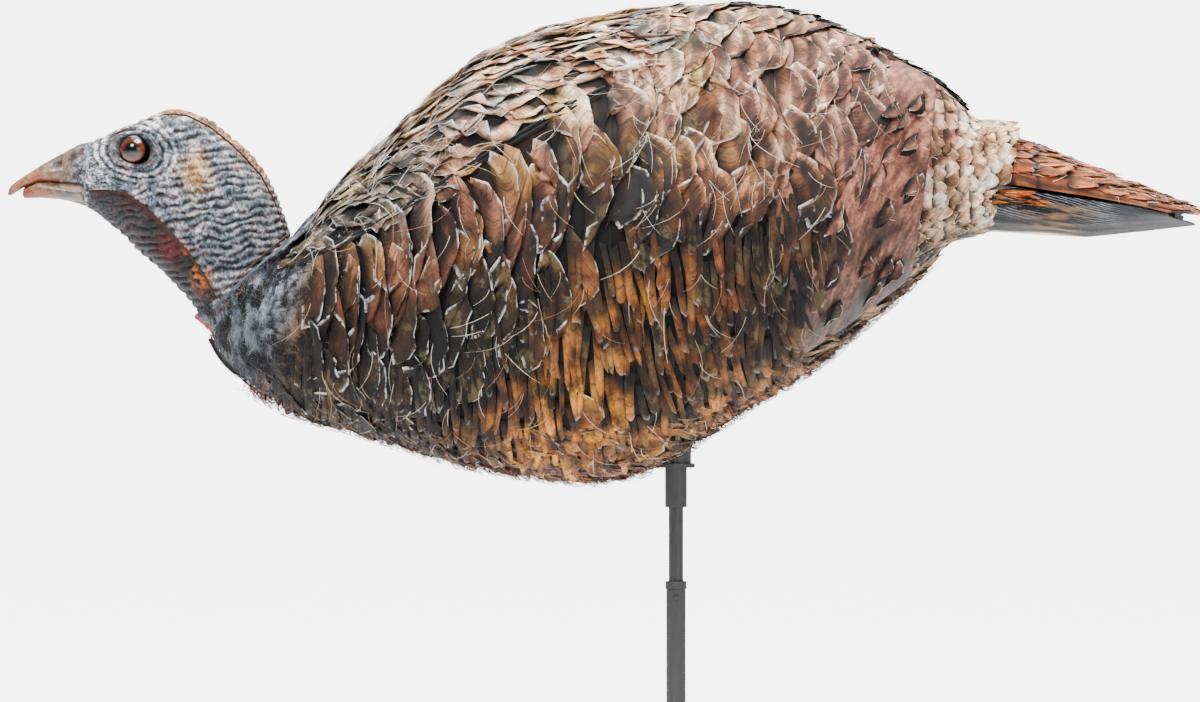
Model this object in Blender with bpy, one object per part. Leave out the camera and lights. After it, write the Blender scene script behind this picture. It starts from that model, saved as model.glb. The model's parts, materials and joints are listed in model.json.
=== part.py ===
"""Hen turkey decoy: a sewn fabric bird on a folding umbrella frame, held up by a two-part ground stake.

Metres, +Z up. The origin is on the stake's axis at ground level; the head points to -X and the tail to +X.
"""

import math
from collections import namedtuple

import bmesh
import bpy
from mathutils import Matrix, Vector

# ---- Overall sizes -------------------------------------------------------------------------------
BODY_LENGTH = 0.52  # collar seam to tail root, along X
BODY_DEPTH = 0.34  # back to belly at the deepest section
BODY_WIDTH = 0.29  # wing to wing at the widest section
SPINE_HEIGHT = 0.385  # spine shaft's axis above ground, at the stake
SPINE_SLOPE = math.radians(10.7)  # the shaft rises towards the tail

# ---- Fabric --------------------------------------------------------------------------------------
FEATHER_PILE = 0.003  # loose cut feathers outside the skin
SKIN = 0.002  # fabric, lining and wadding
SEAM_GAP = 0.0005  # between neighbouring sewn panels
SQUARENESS = 0.05  # how far the section bulges past an ellipse between its ribs

# ---- Neck and head -------------------------------------------------------------------------------
COLLAR_DEPTH = 0.085
COLLAR_WIDTH = 0.080
HEAD_REACH = 0.168  # collar plane to beak tip, along the neck axis
HEAD_WIDTH = 0.076
NECK_TILT = math.radians(131.9)  # neck axis, from +X
NECK_SETBACK = 0.036  # neck post's foot to the collar plane
HEAD_PILE = 0.001  # nap outside the head's skin
HEAD_SKIN = 0.0015
EYE_RADIUS = 0.011
EYE_SINK = 0.0065  # eye centre below the face's surface
BEAK_LENGTH = 0.0600

# ---- Tail ----------------------------------------------------------------------------------------
TAIL_LENGTH = 0.164
TAIL_ROOT_WIDTH = 0.094
TAIL_TIP_WIDTH = 0.150
TAIL_SKIN = 0.0015
TAIL_BOARD = 0.003
TAIL_FORK_HALF_WIDTH = 0.011
TAIL_FORK_HALF_DEPTH = 0.008
TAIL_FORK_BACK = 0.028  # fork's solid end ahead of the hinge
TAIL_FORK_TIP = 0.006  # cheeks behind the hinge
TAIL_KNUCKLE_HALF = 0.0048  # half width and radius of the board's knuckle
TAIL_SLOT_HALF = 0.0055
TAIL_SLOT_START = 0.0095  # slot ahead of the hinge
TAIL_BORE_END = 0.012  # shaft's end ahead of the hinge
PIN_HEAD = 0.0034
PIN_HEAD_HEIGHT = 0.0015
TAIL_OUTLINE = [(0.0035, 0.0045), (0.014, 0.0045), (0.03, 0.03), (0.143, 0.058), (0.152, 0.03)]

# ---- Umbrella frame ------------------------------------------------------------------------------
SHAFT_RADIUS = 0.0045
RIB_ANGLES = [math.radians(a) for a in (0.0, 45.0, -45.0, 90.0, -90.0, 135.0, -135.0)]
WIRE_RADIUS = 0.0008
WIRE_RING = 0.0140  # ring on which rib or stretcher roots hinge
LUG_RADIUS = 0.0175  # crown and runner discs
LUG_THICKNESS = 0.008
ROOT_FLOOR = 0.0103  # bottom of the slots for the roots
LINK_EYE = 0.0028
RIB_THICKNESS = 0.0024
RIB_HALF_DEPTH = 0.0016
RIB_TIP = 0.0026
STRETCHER_THICKNESS = 0.0016
STRETCHER_HALF_DEPTH = 0.0015
LINK_PLAY = 0.0004  # between faces of links and slots
RUNNER_SLEEVE = 0.020
RUNNER_WALL = 0.0022
GRIP_RING_WIRE = 0.0015

# ---- Stake and socket ----------------------------------------------------------------------------
ROD_RADIUS = 0.00525
ROD_WALL = 0.0012
TUBE_RADIUS = 0.0070
TUBE_TOP = 0.1375
TUBE_BOTTOM = -0.020
SPIKE_LENGTH = 0.140
ROD_BOTTOM = 0.020
COLLAR_RING_HEIGHT = 0.0058
COLLAR_RING_WALL = 0.0022
LOCK_SCREW_RADIUS = 0.0020
LOCK_SCREW_DROP = 0.0060  # screw axis below the tube's top
SOCKET_RADIUS = 0.0079
SOCKET_BOTTOM = 0.1966
SOCKET_ROD_DEPTH = 0.075  # how far the rod stands in the socket
SOCKET_CAP = 0.006
GROMMET_FLANGE = 0.0055
GROMMET_PLATE = 0.003
HUB_LENGTH = 0.030
HUB_WIDTH = 0.030
HUB_ABOVE = 0.016
HUB_BELOW = 0.030
BOLT_RADIUS = 0.0020
BOLT_RISE = 0.0100  # bolt axis above the shaft's
BOLT_HEAD = 0.0038
BOLT_HEAD_HEIGHT = 0.0030

FIT = 0.0003  # clearance between pieces that touch
SIDES = 18  # sides of a turned piece
PANEL_STEP = 0.5  # rows of a panel, in ring numbers

# ---- Derived frame lines -------------------------------------------------------------------------
Y_AXIS = Vector((0.0, 1.0, 0.0))
SPINE = Vector((math.cos(SPINE_SLOPE), 0.0, math.sin(SPINE_SLOPE)))
SPINE_UP = Vector((-math.sin(SPINE_SLOPE), 0.0, math.cos(SPINE_SLOPE)))
NECK = Vector((math.cos(NECK_TILT), 0.0, math.sin(NECK_TILT)))
NECK_BACK = Vector((math.sin(NECK_TILT), 0.0, -math.cos(NECK_TILT)))

CROWN_SHARE = 0.5315  # crown ahead of the stake, in body lengths
TAIL_HINGE_SHARE = 0.4143  # tail hinge behind the stake, in body lengths
HUB_POINT = Vector((0.0, 0.0, SPINE_HEIGHT))
CROWN_POINT = HUB_POINT - SPINE * (CROWN_SHARE * BODY_LENGTH)
TAIL_HINGE = HUB_POINT + SPINE * (TAIL_HINGE_SHARE * BODY_LENGTH)
NECK_FOOT_AHEAD = LUG_THICKNESS / 2 + 0.008
NECK_FOOT_LENGTH = 0.010
NECK_FOOT_SHARE = 2.0  # foot's radius against the shaft's
POST_SHARE = 0.55  # neck post's length, in head reaches
DISC_TOP = -0.002  # collar disc below the collar's plane
DISC_BOTTOM = -0.006
NECK_FOOT = CROWN_POINT - SPINE * NECK_FOOT_AHEAD
COLLAR_POINT = NECK_FOOT + NECK * NECK_SETBACK

# ---- Fold ----------------------------------------------------------------------------------------
BACK_REACH_SHARE = 0.49519  # crown to the tip of a back rib along the shaft, in body lengths
BACK_RISE_SHARE = 0.45588  # tip of a back rib from the shaft's axis, in body depths
SIDE_OUT_SHARE = 0.43793  # tip of a side rib from the shaft's axis, in body widths
BELLY_DROP_SHARE = 0.41176  # tip of a belly rib from the shaft's axis, in body depths
PIVOT_SHARE = 0.41  # stretcher pivot along a back rib
STRETCHER_SHARE = 1.30  # stretcher against the pivot's open distance from the shaft
DEPTH_TO_WIDTH = 1.18  # a narrower body takes ribs as short as a shallower one
FRAME_DEPTH = min(BODY_DEPTH, BODY_WIDTH * DEPTH_TO_WIDTH)
RIB_REACH = BACK_REACH_SHARE * BODY_LENGTH
RIB_RISE = BACK_RISE_SHARE * FRAME_DEPTH
RIB_OPEN = math.atan2(RIB_RISE - WIRE_RING, RIB_REACH)
BACK_RIB = math.hypot(RIB_REACH, RIB_RISE - WIRE_RING)
SIDE_RIB = (SIDE_OUT_SHARE * BODY_WIDTH - WIRE_RING) / math.sin(RIB_OPEN)
BELLY_RIB = (BELLY_DROP_SHARE * FRAME_DEPTH - WIRE_RING) / math.sin(RIB_OPEN)
PIVOT_ALONG = PIVOT_SHARE * BACK_RIB
STRETCHER = STRETCHER_SHARE * PIVOT_ALONG * math.sin(RIB_OPEN)

# ---- Outlines ------------------------------------------------------------------------------------
# Body rings from the first behind the collar to the tail root. Along is in body lengths from the stake,
# up in body depths from the spine's height, and wide in body widths.
Ring = namedtuple("Ring", "back_along back_up belly_along belly_up wide")
BODY_RINGS = [
    Ring(-0.490, 0.043, -0.641, -0.226, 0.345),
    Ring(-0.468, 0.132, -0.611, -0.283, 0.441),
    Ring(-0.435, 0.181, -0.541, -0.351, 0.586),
    Ring(-0.368, 0.284, -0.424, -0.402, 0.745),
    Ring(-0.278, 0.399, -0.299, -0.463, 0.897),
    Ring(-0.181, 0.462, -0.181, -0.493, 0.979),
    Ring(-0.091, 0.490, -0.089, -0.497, 1.000),
    Ring(0.006, 0.513, -0.006, -0.453, 0.966),
    Ring(0.102, 0.509, 0.096, -0.347, 0.883),
    Ring(0.199, 0.479, 0.188, -0.264, 0.766),
    Ring(0.282, 0.416, 0.266, -0.162, 0.634),
    Ring(0.359, 0.354, 0.331, -0.076, 0.510),
    Ring(0.428, 0.282, 0.386, 0.011, 0.400),
]
CAPE_END = 3.0  # ring numbers: the neck cape's rear edge
STAR_END = 7.0  # the back ribs' tips
SADDLE_END = 10.0
SATIN_END = 11.5
TAIL_END = 13.0
SEAM_AT_COLLAR = math.radians(88.0)  # side seam, down from the top of the back
SEAM_AT_STAR = math.radians(48.0)
BREAST_EDGE = math.radians(152.0)
REAR_EDGE = math.radians(118.0)
HALF_RING = 12  # lines of the body's grid from the back down to the belly
RING_LINES = 2 * HALF_RING
SEAM_LINE = 4
REAR_LINE = 8
BREAST_LINE = 10

# Head rings from the collar to the face. Out is in collar depths from the neck axis, on is in head
# reaches along it, and wide is in head widths.
HeadRing = namedtuple("HeadRing", "back_out back_on throat_out throat_on wide")
HEAD_RINGS = [
    HeadRing(0.500, 0.0035, -0.500, 0.0035, COLLAR_WIDTH / HEAD_WIDTH),
    HeadRing(0.639, 0.155, -0.470, 0.113, 1.080),
    HeadRing(0.731, 0.304, -0.483, 0.234, 1.040),
    HeadRing(0.733, 0.452, -0.503, 0.370, 1.000),
    HeadRing(0.693, 0.609, -0.522, 0.482, 0.950),
    HeadRing(0.552, 0.754, -0.539, 0.588, 0.890),
    HeadRing(0.264, 0.816, -0.558, 0.654, 0.780),
    HeadRing(-0.018, 0.869, -0.580, 0.693, 0.610),
    HeadRing(-0.249, 0.905, -0.594, 0.711, 0.400),
]
CROWN_STRIP_EDGE = math.radians(20.0)
THROAT_EDGE = math.radians(142.0)
EYE_OUT = 0.039  # in collar depths
EYE_ON = 0.734  # in head reaches

# Beak stations ahead of the face: share of the beak's length, then top and bottom in shares of half
# the face's depth, then half width in metres.
UPPER_BEAK = [
    (0.02, 0.95, -0.36, 0.0135),
    (0.28, 0.70, -0.28, 0.0110),
    (0.53, 0.34, -0.19, 0.0080),
    (0.75, -0.05, -0.34, 0.0052),
    (0.94, -0.44, -0.64, 0.0020),
]
LOWER_BEAK = [
    (0.02, -0.42, -0.93, 0.0130),
    (0.31, -0.35, -0.77, 0.0100),
    (0.55, -0.26, -0.72, 0.0070),
    (0.76, -0.42, -0.75, 0.0034),
]


# ---- Materials and meshes ------------------------------------------------------------------------
def clear_scene():
    """Remove everything that the file holds."""
    for obj in list(bpy.data.objects):
        bpy.data.objects.remove(obj, do_unlink=True)


def material(name, colour, roughness, metallic=0.0):
    """A Principled material, made once for each name."""
    made = bpy.data.materials.get(name)
    if made:
        return made
    made = bpy.data.materials.new(name)
    made.use_nodes = True
    shader = made.node_tree.nodes["Principled BSDF"]
    shader.inputs["Base Color"].default_value = (*colour, 1.0)
    shader.inputs["Roughness"].default_value = roughness
    shader.inputs["Metallic"].default_value = metallic
    made.diffuse_color = (*colour, 1.0)
    return made


def black_plastic():
    """Moulded black nylon."""
    return material("black_plastic", (0.02, 0.02, 0.022), 0.45)


def dark_metal():
    """Dark rod steel."""
    return material("dark_metal", (0.09, 0.08, 0.075), 0.4, 0.8)


def grey_tube():
    """Grey anodised tube."""
    return material("grey_tube", (0.35, 0.36, 0.38), 0.35, 0.9)


def spring_steel():
    """Bright spring steel."""
    return material("spring_steel", (0.45, 0.45, 0.46), 0.3, 1.0)


def rubber():
    """Black rubber."""
    return material("rubber", (0.03, 0.03, 0.03), 0.8)


def fabric(name, colour):
    """Printed fabric in one panel's colour."""
    return material(name + "_fabric", colour, 0.85)


def add_object(name, bm, surface, place=None, parent=None, smooth=True):
    """Turn a bmesh into a named object, with its faces pointing out."""
    bmesh.ops.recalc_face_normals(bm, faces=bm.faces)
    mesh = bpy.data.meshes.new(name)
    bm.to_mesh(mesh)
    bm.free()
    if smooth:
        mesh.shade_smooth()
        mesh.set_sharp_from_angle(angle=math.radians(35.0))
    if surface:
        mesh.materials.append(surface)
    obj = bpy.data.objects.new(name, mesh)
    bpy.context.scene.collection.objects.link(obj)
    obj.parent = parent
    if place:
        obj.matrix_local = place
    return obj


def add_empty(name, place, parent=None):
    """An empty that carries a moving group, on the group's joint axis."""
    empty = bpy.data.objects.new(name, None)
    bpy.context.scene.collection.objects.link(empty)
    empty.parent = parent
    empty.matrix_local = place
    return empty


def frame_at(point, x_axis, y_axis, z_axis):
    """A placement with its origin at a point and the three given axes."""
    turned_to = Matrix((x_axis, y_axis, z_axis)).transposed().to_4x4()
    return Matrix.Translation(point) @ turned_to


def along(point, direction):
    """A placement whose Z runs along a direction in the XZ plane, with Y kept."""
    z_axis = direction.normalized()
    return frame_at(point, Y_AXIS.cross(z_axis), Y_AXIS, z_axis)


def turned_mesh(profile, sides=SIDES):
    """Turn a closed outline of (radius, height) points about Z."""
    bm = bmesh.new()
    verts = [bm.verts.new((radius, 0.0, height)) for radius, height in profile]
    edges = [bm.edges.new((a, b)) for a, b in zip(verts, verts[1:])]
    if profile[0][0] > 0.0:
        edges.append(bm.edges.new((verts[-1], verts[0])))
    bmesh.ops.spin(
        bm,
        geom=verts + edges,
        cent=(0.0, 0.0, 0.0),
        axis=(0.0, 0.0, 1.0),
        angle=math.tau,
        steps=sides,
        use_merge=True,
    )
    bmesh.ops.remove_doubles(bm, verts=bm.verts, dist=1e-6)
    return bm


def tube_profile(inner, outer, low, high):
    """Radius and height pairs of a tube's wall."""
    return [(inner, low), (outer, low), (outer, high), (inner, high)]


def rod_profile(radius, low, high):
    """Radius and height pairs of a solid rod."""
    return [(0.0, low), (radius, low), (radius, high), (0.0, high)]


def torus_mesh(ring, wire, around=28, across=6):
    """A wire bent into a ring about Z."""
    profile = []
    for k in range(across):
        turn = math.tau * k / across
        profile.append((ring + wire * math.cos(turn), wire * math.sin(turn)))
    return turned_mesh(profile, around)


def box_mesh(low, high):
    """A box between two corners."""
    bm = bmesh.new()
    size = Vector(high) - Vector(low)
    middle = (Vector(high) + Vector(low)) / 2
    bmesh.ops.create_cube(bm, size=1.0, matrix=Matrix.Translation(middle) @ Matrix.Diagonal((*size, 1.0)))
    return bm


def boolean(obj, tool, operation="DIFFERENCE"):
    """Cut a hidden tool from an object, or join it on."""
    tool.hide_render = True
    tool.display_type = "WIRE"
    step = obj.modifiers.new(operation.lower(), "BOOLEAN")
    step.operation = operation
    step.solver = "EXACT"
    step.object = tool


def cutter(name, bm, place=None, parent=None):
    """A hidden tool for a Boolean."""
    return add_object(name, bm, None, place, parent, smooth=False)


def lofted_mesh(rings):
    """A closed solid through rings that have the same number of points."""
    bm = bmesh.new()
    made = [[bm.verts.new(point) for point in ring] for ring in rings]
    for near, far in zip(made, made[1:]):
        count = len(near)
        for k in range(count):
            bm.faces.new((near[k], near[(k + 1) % count], far[(k + 1) % count], far[k]))
    bm.faces.new(made[0])
    bm.faces.new(made[-1])
    return bm


def sheet_mesh(outer, inner):
    """A closed sheet between two grids of points with the same rows and columns."""
    bm = bmesh.new()
    top = [[bm.verts.new(point) for point in row] for row in outer]
    low = [[bm.verts.new(point) for point in row] for row in inner]
    rows, columns = len(outer) - 1, len(outer[0]) - 1
    for i in range(rows):
        for j in range(columns):
            bm.faces.new((top[i][j], top[i][j + 1], top[i + 1][j + 1], top[i + 1][j]))
            bm.faces.new((low[i][j], low[i + 1][j], low[i + 1][j + 1], low[i][j + 1]))
    for i in range(rows):
        bm.faces.new((top[i][0], top[i + 1][0], low[i + 1][0], low[i][0]))
        bm.faces.new((top[i][-1], low[i][-1], low[i + 1][-1], top[i + 1][-1]))
    for j in range(columns):
        bm.faces.new((top[0][j], low[0][j], low[0][j + 1], top[0][j + 1]))
        bm.faces.new((top[-1][j], top[-1][j + 1], low[-1][j + 1], low[-1][j]))
    return bm


def link_mesh(length, thickness, half_depth, root, tip):
    """A flat bar along X with a round eye at its root and a round tip, centred on Y."""
    outline = []
    lean = math.asin(half_depth / root)
    arc = 8
    for k in range(arc + 1):
        turn = lean + (math.tau - 2 * lean) * k / arc
        outline.append((root * math.cos(turn), root * math.sin(turn)))
    lean = math.asin(half_depth / tip)
    for k in range(arc - 3):
        turn = -(math.pi - lean) + (math.tau - 2 * lean) * k / (arc - 4)
        outline.append((length + tip * math.cos(turn), tip * math.sin(turn)))
    bm = bmesh.new()
    face = bm.faces.new([bm.verts.new((x, -thickness / 2, z)) for x, z in outline])
    grown = bmesh.ops.extrude_face_region(bm, geom=[face])
    moved = [v for v in grown["geom"] if isinstance(v, bmesh.types.BMVert)]
    bmesh.ops.translate(bm, verts=moved, vec=(0.0, thickness, 0.0))
    return bm


# ---- Body surface --------------------------------------------------------------------------------
def smooth_between(values, at):
    """Catmull-Rom through evenly numbered values."""
    last = len(values) - 1
    start = min(int(at), last - 1)
    t = at - start
    p1, p2 = values[start], values[start + 1]
    p0 = values[start - 1] if start > 0 else [2 * a - b for a, b in zip(p1, p2)]
    p3 = values[start + 2] if start + 2 <= last else [2 * a - b for a, b in zip(p2, p1)]
    found = []
    for a, b, c, d in zip(p0, p1, p2, p3):
        bend = (2 * a - 5 * b + 4 * c - d) * t * t + (3 * b - a - 3 * c + d) * t * t * t
        found.append(b + 0.5 * ((c - a) * t + bend))
    return found


def body_ring_values():
    """Each ring as back x, back z, belly x, belly z and half width, the collar's first."""
    back = COLLAR_POINT + NECK_BACK * (COLLAR_DEPTH / 2)
    throat = COLLAR_POINT - NECK_BACK * (COLLAR_DEPTH / 2)
    values = [(back.x, back.z, throat.x, throat.z, COLLAR_WIDTH / 2)]
    for ring in BODY_RINGS:
        values.append(
            (
                ring.back_along * BODY_LENGTH,
                SPINE_HEIGHT + ring.back_up * BODY_DEPTH,
                ring.belly_along * BODY_LENGTH,
                SPINE_HEIGHT + ring.belly_up * BODY_DEPTH,
                ring.wide * BODY_WIDTH / 2,
            )
        )
    return values


RING_VALUES = body_ring_values()


def body_point(at, angle):
    """The fabric's outer face at a ring number and an angle down from the top of the back."""
    back_x, back_z, belly_x, belly_z, half_width = smooth_between(RING_VALUES, at)
    middle = Vector((back_x + belly_x, 0.0, back_z + belly_z)) / 2
    rise = Vector((back_x - belly_x, 0.0, back_z - belly_z)) / 2
    swell = 1.0 + SQUARENESS * math.sin(2 * angle) ** 2 * min(1.0, at)
    return middle + swell * (rise * math.cos(angle) + Y_AXIS * half_width * math.sin(angle))


def body_slopes(at, angle):
    """How the surface moves with the ring number and with the angle."""
    step = 0.01
    low = max(at - step, 0.0)
    high = min(at + step, TAIL_END)
    with_ring = (body_point(high, angle) - body_point(low, angle)) / (high - low)
    with_angle = (body_point(at, angle + step) - body_point(at, angle - step)) / (2 * step)
    return with_ring, with_angle


def skin_point(at, angle, depth):
    """A point a depth inside the surface."""
    with_ring, with_angle = body_slopes(at, angle)
    inward = with_ring.cross(with_angle).normalized()
    point = body_point(at, angle)
    ring = smooth_between(RING_VALUES, at)
    middle = Vector((ring[0] + ring[2], 0.0, ring[1] + ring[3])) / 2
    if inward.dot(middle - point) < 0.0:
        inward = -inward
    return point + inward * depth


def side_seam(at):
    """The seam that follows a back rib from the collar to the rib's tip."""
    return SEAM_AT_COLLAR + (SEAM_AT_STAR - SEAM_AT_COLLAR) * min(at / STAR_END, 1.0)


def ring_angle(at, line):
    """Angle of a numbered line of the body's grid: 0 on the back, RING_LINES / 2 on the belly."""
    if line > HALF_RING:
        return math.tau - ring_angle(at, RING_LINES - line)
    if line < 0:
        return -ring_angle(at, -line)
    stops = (
        (0, 0.0),
        (SEAM_LINE, side_seam(at)),
        (REAR_LINE, REAR_EDGE),
        (BREAST_LINE, BREAST_EDGE),
        (HALF_RING, math.pi),
    )
    for (low, start), (high, end) in zip(stops, stops[1:]):
        if line <= high:
            return start + (end - start) * (line - low) / (high - low)
    return math.pi


def panel_grids(start, end, first, last, thickness):
    """Outer and inner grids of a panel, half a seam gap inside its edges."""
    rows = round((end - start) / PANEL_STEP)
    grids = ([], [])
    for i in range(rows + 1):
        lines = ([], [])
        at_line = start + (end - start) * i / rows
        for number in range(first, last + 1):
            angle = ring_angle(at_line, number)
            with_ring, with_angle = body_slopes(at_line, angle)
            at = at_line
            if i == 0:
                at += SEAM_GAP / 2 / with_ring.length
            if i == rows:
                at -= SEAM_GAP / 2 / with_ring.length
            if number == first:
                angle += SEAM_GAP / 2 / with_angle.length
            if number == last:
                angle -= SEAM_GAP / 2 / with_angle.length
            for line, depth in zip(lines, (FEATHER_PILE, FEATHER_PILE + thickness)):
                line.append(skin_point(at, angle, depth))
        for grid, line in zip(grids, lines):
            grid.append(line)
    return grids


def body_panel(name, colour, rows, lines, parent):
    """One sewn panel of the body, between two rings and two lines of the grid."""
    bm = sheet_mesh(*panel_grids(*rows, *lines, SKIN))
    return add_object(name, bm, fabric(name, colour), parent=parent)


def belly_height(x):
    """Height of the belly line at a distance behind the stake."""
    low, high = STAR_END - 2.0, SATIN_END
    for _ in range(30):
        middle = (low + high) / 2
        if body_point(middle, math.pi).x < x:
            low = middle
        else:
            high = middle
    return body_point(low, math.pi).z


def make_body_skin(parent):
    """All panels of the body, from the collar to the tail root."""
    teal = (0.10, 0.15, 0.16)
    bronze = (0.30, 0.17, 0.14)
    grey = (0.25, 0.26, 0.3)
    front = (0.0, STAR_END)
    body_panel("back_panel", teal, front, (-SEAM_LINE, SEAM_LINE), parent)
    sides = {"left": (-BREAST_LINE, -SEAM_LINE), "right": (SEAM_LINE, BREAST_LINE)}
    for word, lines in sides.items():
        body_panel("neck_cape_" + word, grey, (0.0, CAPE_END), lines, parent)
        body_panel("wing_panel_" + word, bronze, (CAPE_END, STAR_END), lines, parent)
    body_panel("breast_panel", (0.28, 0.15, 0.08), front, (BREAST_LINE, RING_LINES - BREAST_LINE), parent)
    over = (-REAR_LINE, REAR_LINE)
    body_panel("saddle_panel", (0.25, 0.14, 0.09), (STAR_END, SADDLE_END), over, parent)
    body_panel("satin_band", (0.42, 0.27, 0.25), (SADDLE_END, SATIN_END), over, parent)
    under = (REAR_LINE, RING_LINES - REAR_LINE)
    belly = body_panel("rear_belly_panel", (0.4, 0.25, 0.15), (STAR_END, SATIN_END), under, parent)
    hole = SOCKET_RADIUS + FIT + GROMMET_FLANGE / 2 + FIT
    tool = turned_mesh(rod_profile(hole, 0.0, SPINE_HEIGHT - HUB_BELOW))
    boolean(belly, cutter("grommet_hole", tool, parent=parent))
    beige = (0.55, 0.45, 0.35)
    body_panel("rump_band_top", beige, (SATIN_END, TAIL_END), over, parent)
    body_panel("rump_band_under", beige, (SATIN_END, TAIL_END), under, parent)


# ---- Stake ---------------------------------------------------------------------------------------
def make_stake():
    """Lower tube with its spike, collar ring and lock screw."""
    bore = ROD_RADIUS + FIT
    wall = tube_profile(bore, TUBE_RADIUS, TUBE_BOTTOM, TUBE_TOP)
    tube = add_object("lower_tube", turned_mesh(wall), grey_tube())
    screw_height = TUBE_TOP - LOCK_SCREW_DROP
    facing = frame_at(Vector((0.0, 0.0, screw_height)), Vector((1, 0, 0)), Vector((0, 0, 1)), -Y_AXIS)
    hole = turned_mesh(rod_profile(LOCK_SCREW_RADIUS + FIT, ROD_RADIUS / 2, TUBE_RADIUS * 2), 16)
    boolean(tube, cutter("lock_screw_hole", hole, facing))
    shank = rod_profile(LOCK_SCREW_RADIUS, ROD_RADIUS + FIT, TUBE_RADIUS + LOCK_SCREW_RADIUS / 2)
    add_object("lock_screw", turned_mesh(shank, 16), spring_steel(), facing)
    outer = ROD_RADIUS + FIT + COLLAR_RING_WALL
    ring = tube_profile(ROD_RADIUS + FIT, outer, TUBE_TOP + FIT, TUBE_TOP + COLLAR_RING_HEIGHT)
    add_object("tube_collar", turned_mesh(ring), dark_metal())
    neck = bore - FIT
    tip = TUBE_BOTTOM - SPIKE_LENGTH
    spike = [
        (0.0, tip),
        (0.0012, tip + 0.002),
        (TUBE_RADIUS, TUBE_BOTTOM - 0.045),
        (TUBE_RADIUS, TUBE_BOTTOM - FIT),
        (neck, TUBE_BOTTOM - FIT),
        (neck, ROD_BOTTOM - 0.015),
        (0.0, ROD_BOTTOM - 0.015),
    ]
    add_object("ground_spike", turned_mesh(spike), dark_metal())


def make_rod(parent):
    """Upper rod, from inside the lower tube to inside the socket."""
    top = SOCKET_BOTTOM + SOCKET_ROD_DEPTH
    profile = tube_profile(ROD_RADIUS - ROD_WALL, ROD_RADIUS, ROD_BOTTOM, top)
    add_object("upper_rod", turned_mesh(profile), dark_metal(), parent=parent)


def make_socket(parent):
    """Socket, hub halves with their bolt and nut, and the grommet in the belly."""
    top = SPINE_HEIGHT - SHAFT_RADIUS / math.cos(SPINE_SLOPE) - SHAFT_RADIUS / 2
    bore = ROD_RADIUS + FIT
    floor = top - SOCKET_CAP
    profile = [
        (0.0, floor),
        (bore, floor),
        (bore, SOCKET_BOTTOM),
        (SOCKET_RADIUS, SOCKET_BOTTOM),
        (SOCKET_RADIUS, top),
        (0.0, top),
    ]
    add_object("stake_socket", turned_mesh(profile), black_plastic(), parent=parent)
    inner = SOCKET_RADIUS + FIT
    outer = inner + GROMMET_FLANGE
    throat = inner + GROMMET_FLANGE / 2
    flange_top = belly_height(-outer) + FEATHER_PILE - 2 * FIT
    throat_top = belly_height(outer) + FEATHER_PILE + 2 * SKIN
    ring = [
        (inner, flange_top - GROMMET_PLATE),
        (outer, flange_top - GROMMET_PLATE),
        (outer, flange_top),
        (throat, flange_top),
        (throat, throat_top),
        (inner, throat_top),
    ]
    add_object("belly_grommet", turned_mesh(ring), black_plastic(), parent=parent)
    make_hub(parent, top)


def make_hub(parent, socket_top):
    """Two clamp halves that hold the spine shaft on the socket's top."""
    half = HUB_LENGTH / 2
    shaft_hole = cutter(
        "hub_shaft_hole",
        turned_mesh(rod_profile(SHAFT_RADIUS + FIT, -HUB_LENGTH, HUB_LENGTH)),
        along(HUB_POINT, SPINE),
        parent,
    )
    socket_hole = cutter(
        "hub_socket_hole",
        turned_mesh(rod_profile(SOCKET_RADIUS + FIT, SPINE_HEIGHT - 2 * HUB_BELOW, socket_top + FIT)),
        parent=parent,
    )
    across = frame_at(
        HUB_POINT + Vector((0.0, 0.0, BOLT_RISE)), Vector((1, 0, 0)), Vector((0, 0, 1)), -Y_AXIS
    )
    bolt_bore = turned_mesh(rod_profile(BOLT_RADIUS + FIT, -HUB_WIDTH, HUB_WIDTH), 16)
    bolt_hole = cutter("hub_bolt_hole", bolt_bore, across, parent)
    for side, word in ((-1.0, "left"), (1.0, "right")):
        near, far = sorted((side * FIT / 2, side * HUB_WIDTH / 2))
        low = (-half, near, SPINE_HEIGHT - HUB_BELOW)
        high = (half, far, SPINE_HEIGHT + HUB_ABOVE)
        bm = box_mesh(low, high)
        block = add_object("hub_" + word, bm, black_plastic(), parent=parent)
        for tool in (shaft_hole, socket_hole, bolt_hole):
            boolean(block, tool)
    face = HUB_WIDTH / 2 + FIT
    nut = BOLT_HEAD_HEIGHT
    bolt = [
        (0.0, -face - nut - 0.002),
        (BOLT_RADIUS, -face - nut - 0.002),
        (BOLT_RADIUS, face),
        (BOLT_HEAD, face),
        (BOLT_HEAD, face + BOLT_HEAD_HEIGHT * 0.7),
        (BOLT_HEAD * 0.6, face + BOLT_HEAD_HEIGHT),
        (0.0, face + BOLT_HEAD_HEIGHT),
    ]
    add_object("hub_bolt", turned_mesh(bolt, 16), spring_steel(), across, parent)
    nut_ring = tube_profile(BOLT_RADIUS + FIT, BOLT_HEAD, -face - nut, -face)
    add_object("hub_nut", turned_mesh(nut_ring, 6), spring_steel(), across, parent, smooth=False)


# ---- Umbrella frame ------------------------------------------------------------------------------
def radial(angle):
    """Direction from the shaft at an angle from its upper side."""
    return SPINE_UP * math.cos(angle) + Y_AXIS * math.sin(angle)


def rib_length(angle):
    """Back ribs are longest, and the side ribs shortest, as the body is deeper than it is wide."""
    turn = abs(angle)
    if turn < math.radians(60.0):
        return BACK_RIB
    return SIDE_RIB if turn < math.radians(120.0) else BELLY_RIB


def runner_reach(rib_angle):
    """Runner's place along the shaft from the crown, for a rib angle."""
    out = PIVOT_ALONG * math.sin(rib_angle)
    return PIVOT_ALONG * math.cos(rib_angle) + math.sqrt(STRETCHER**2 - out**2)


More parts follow.
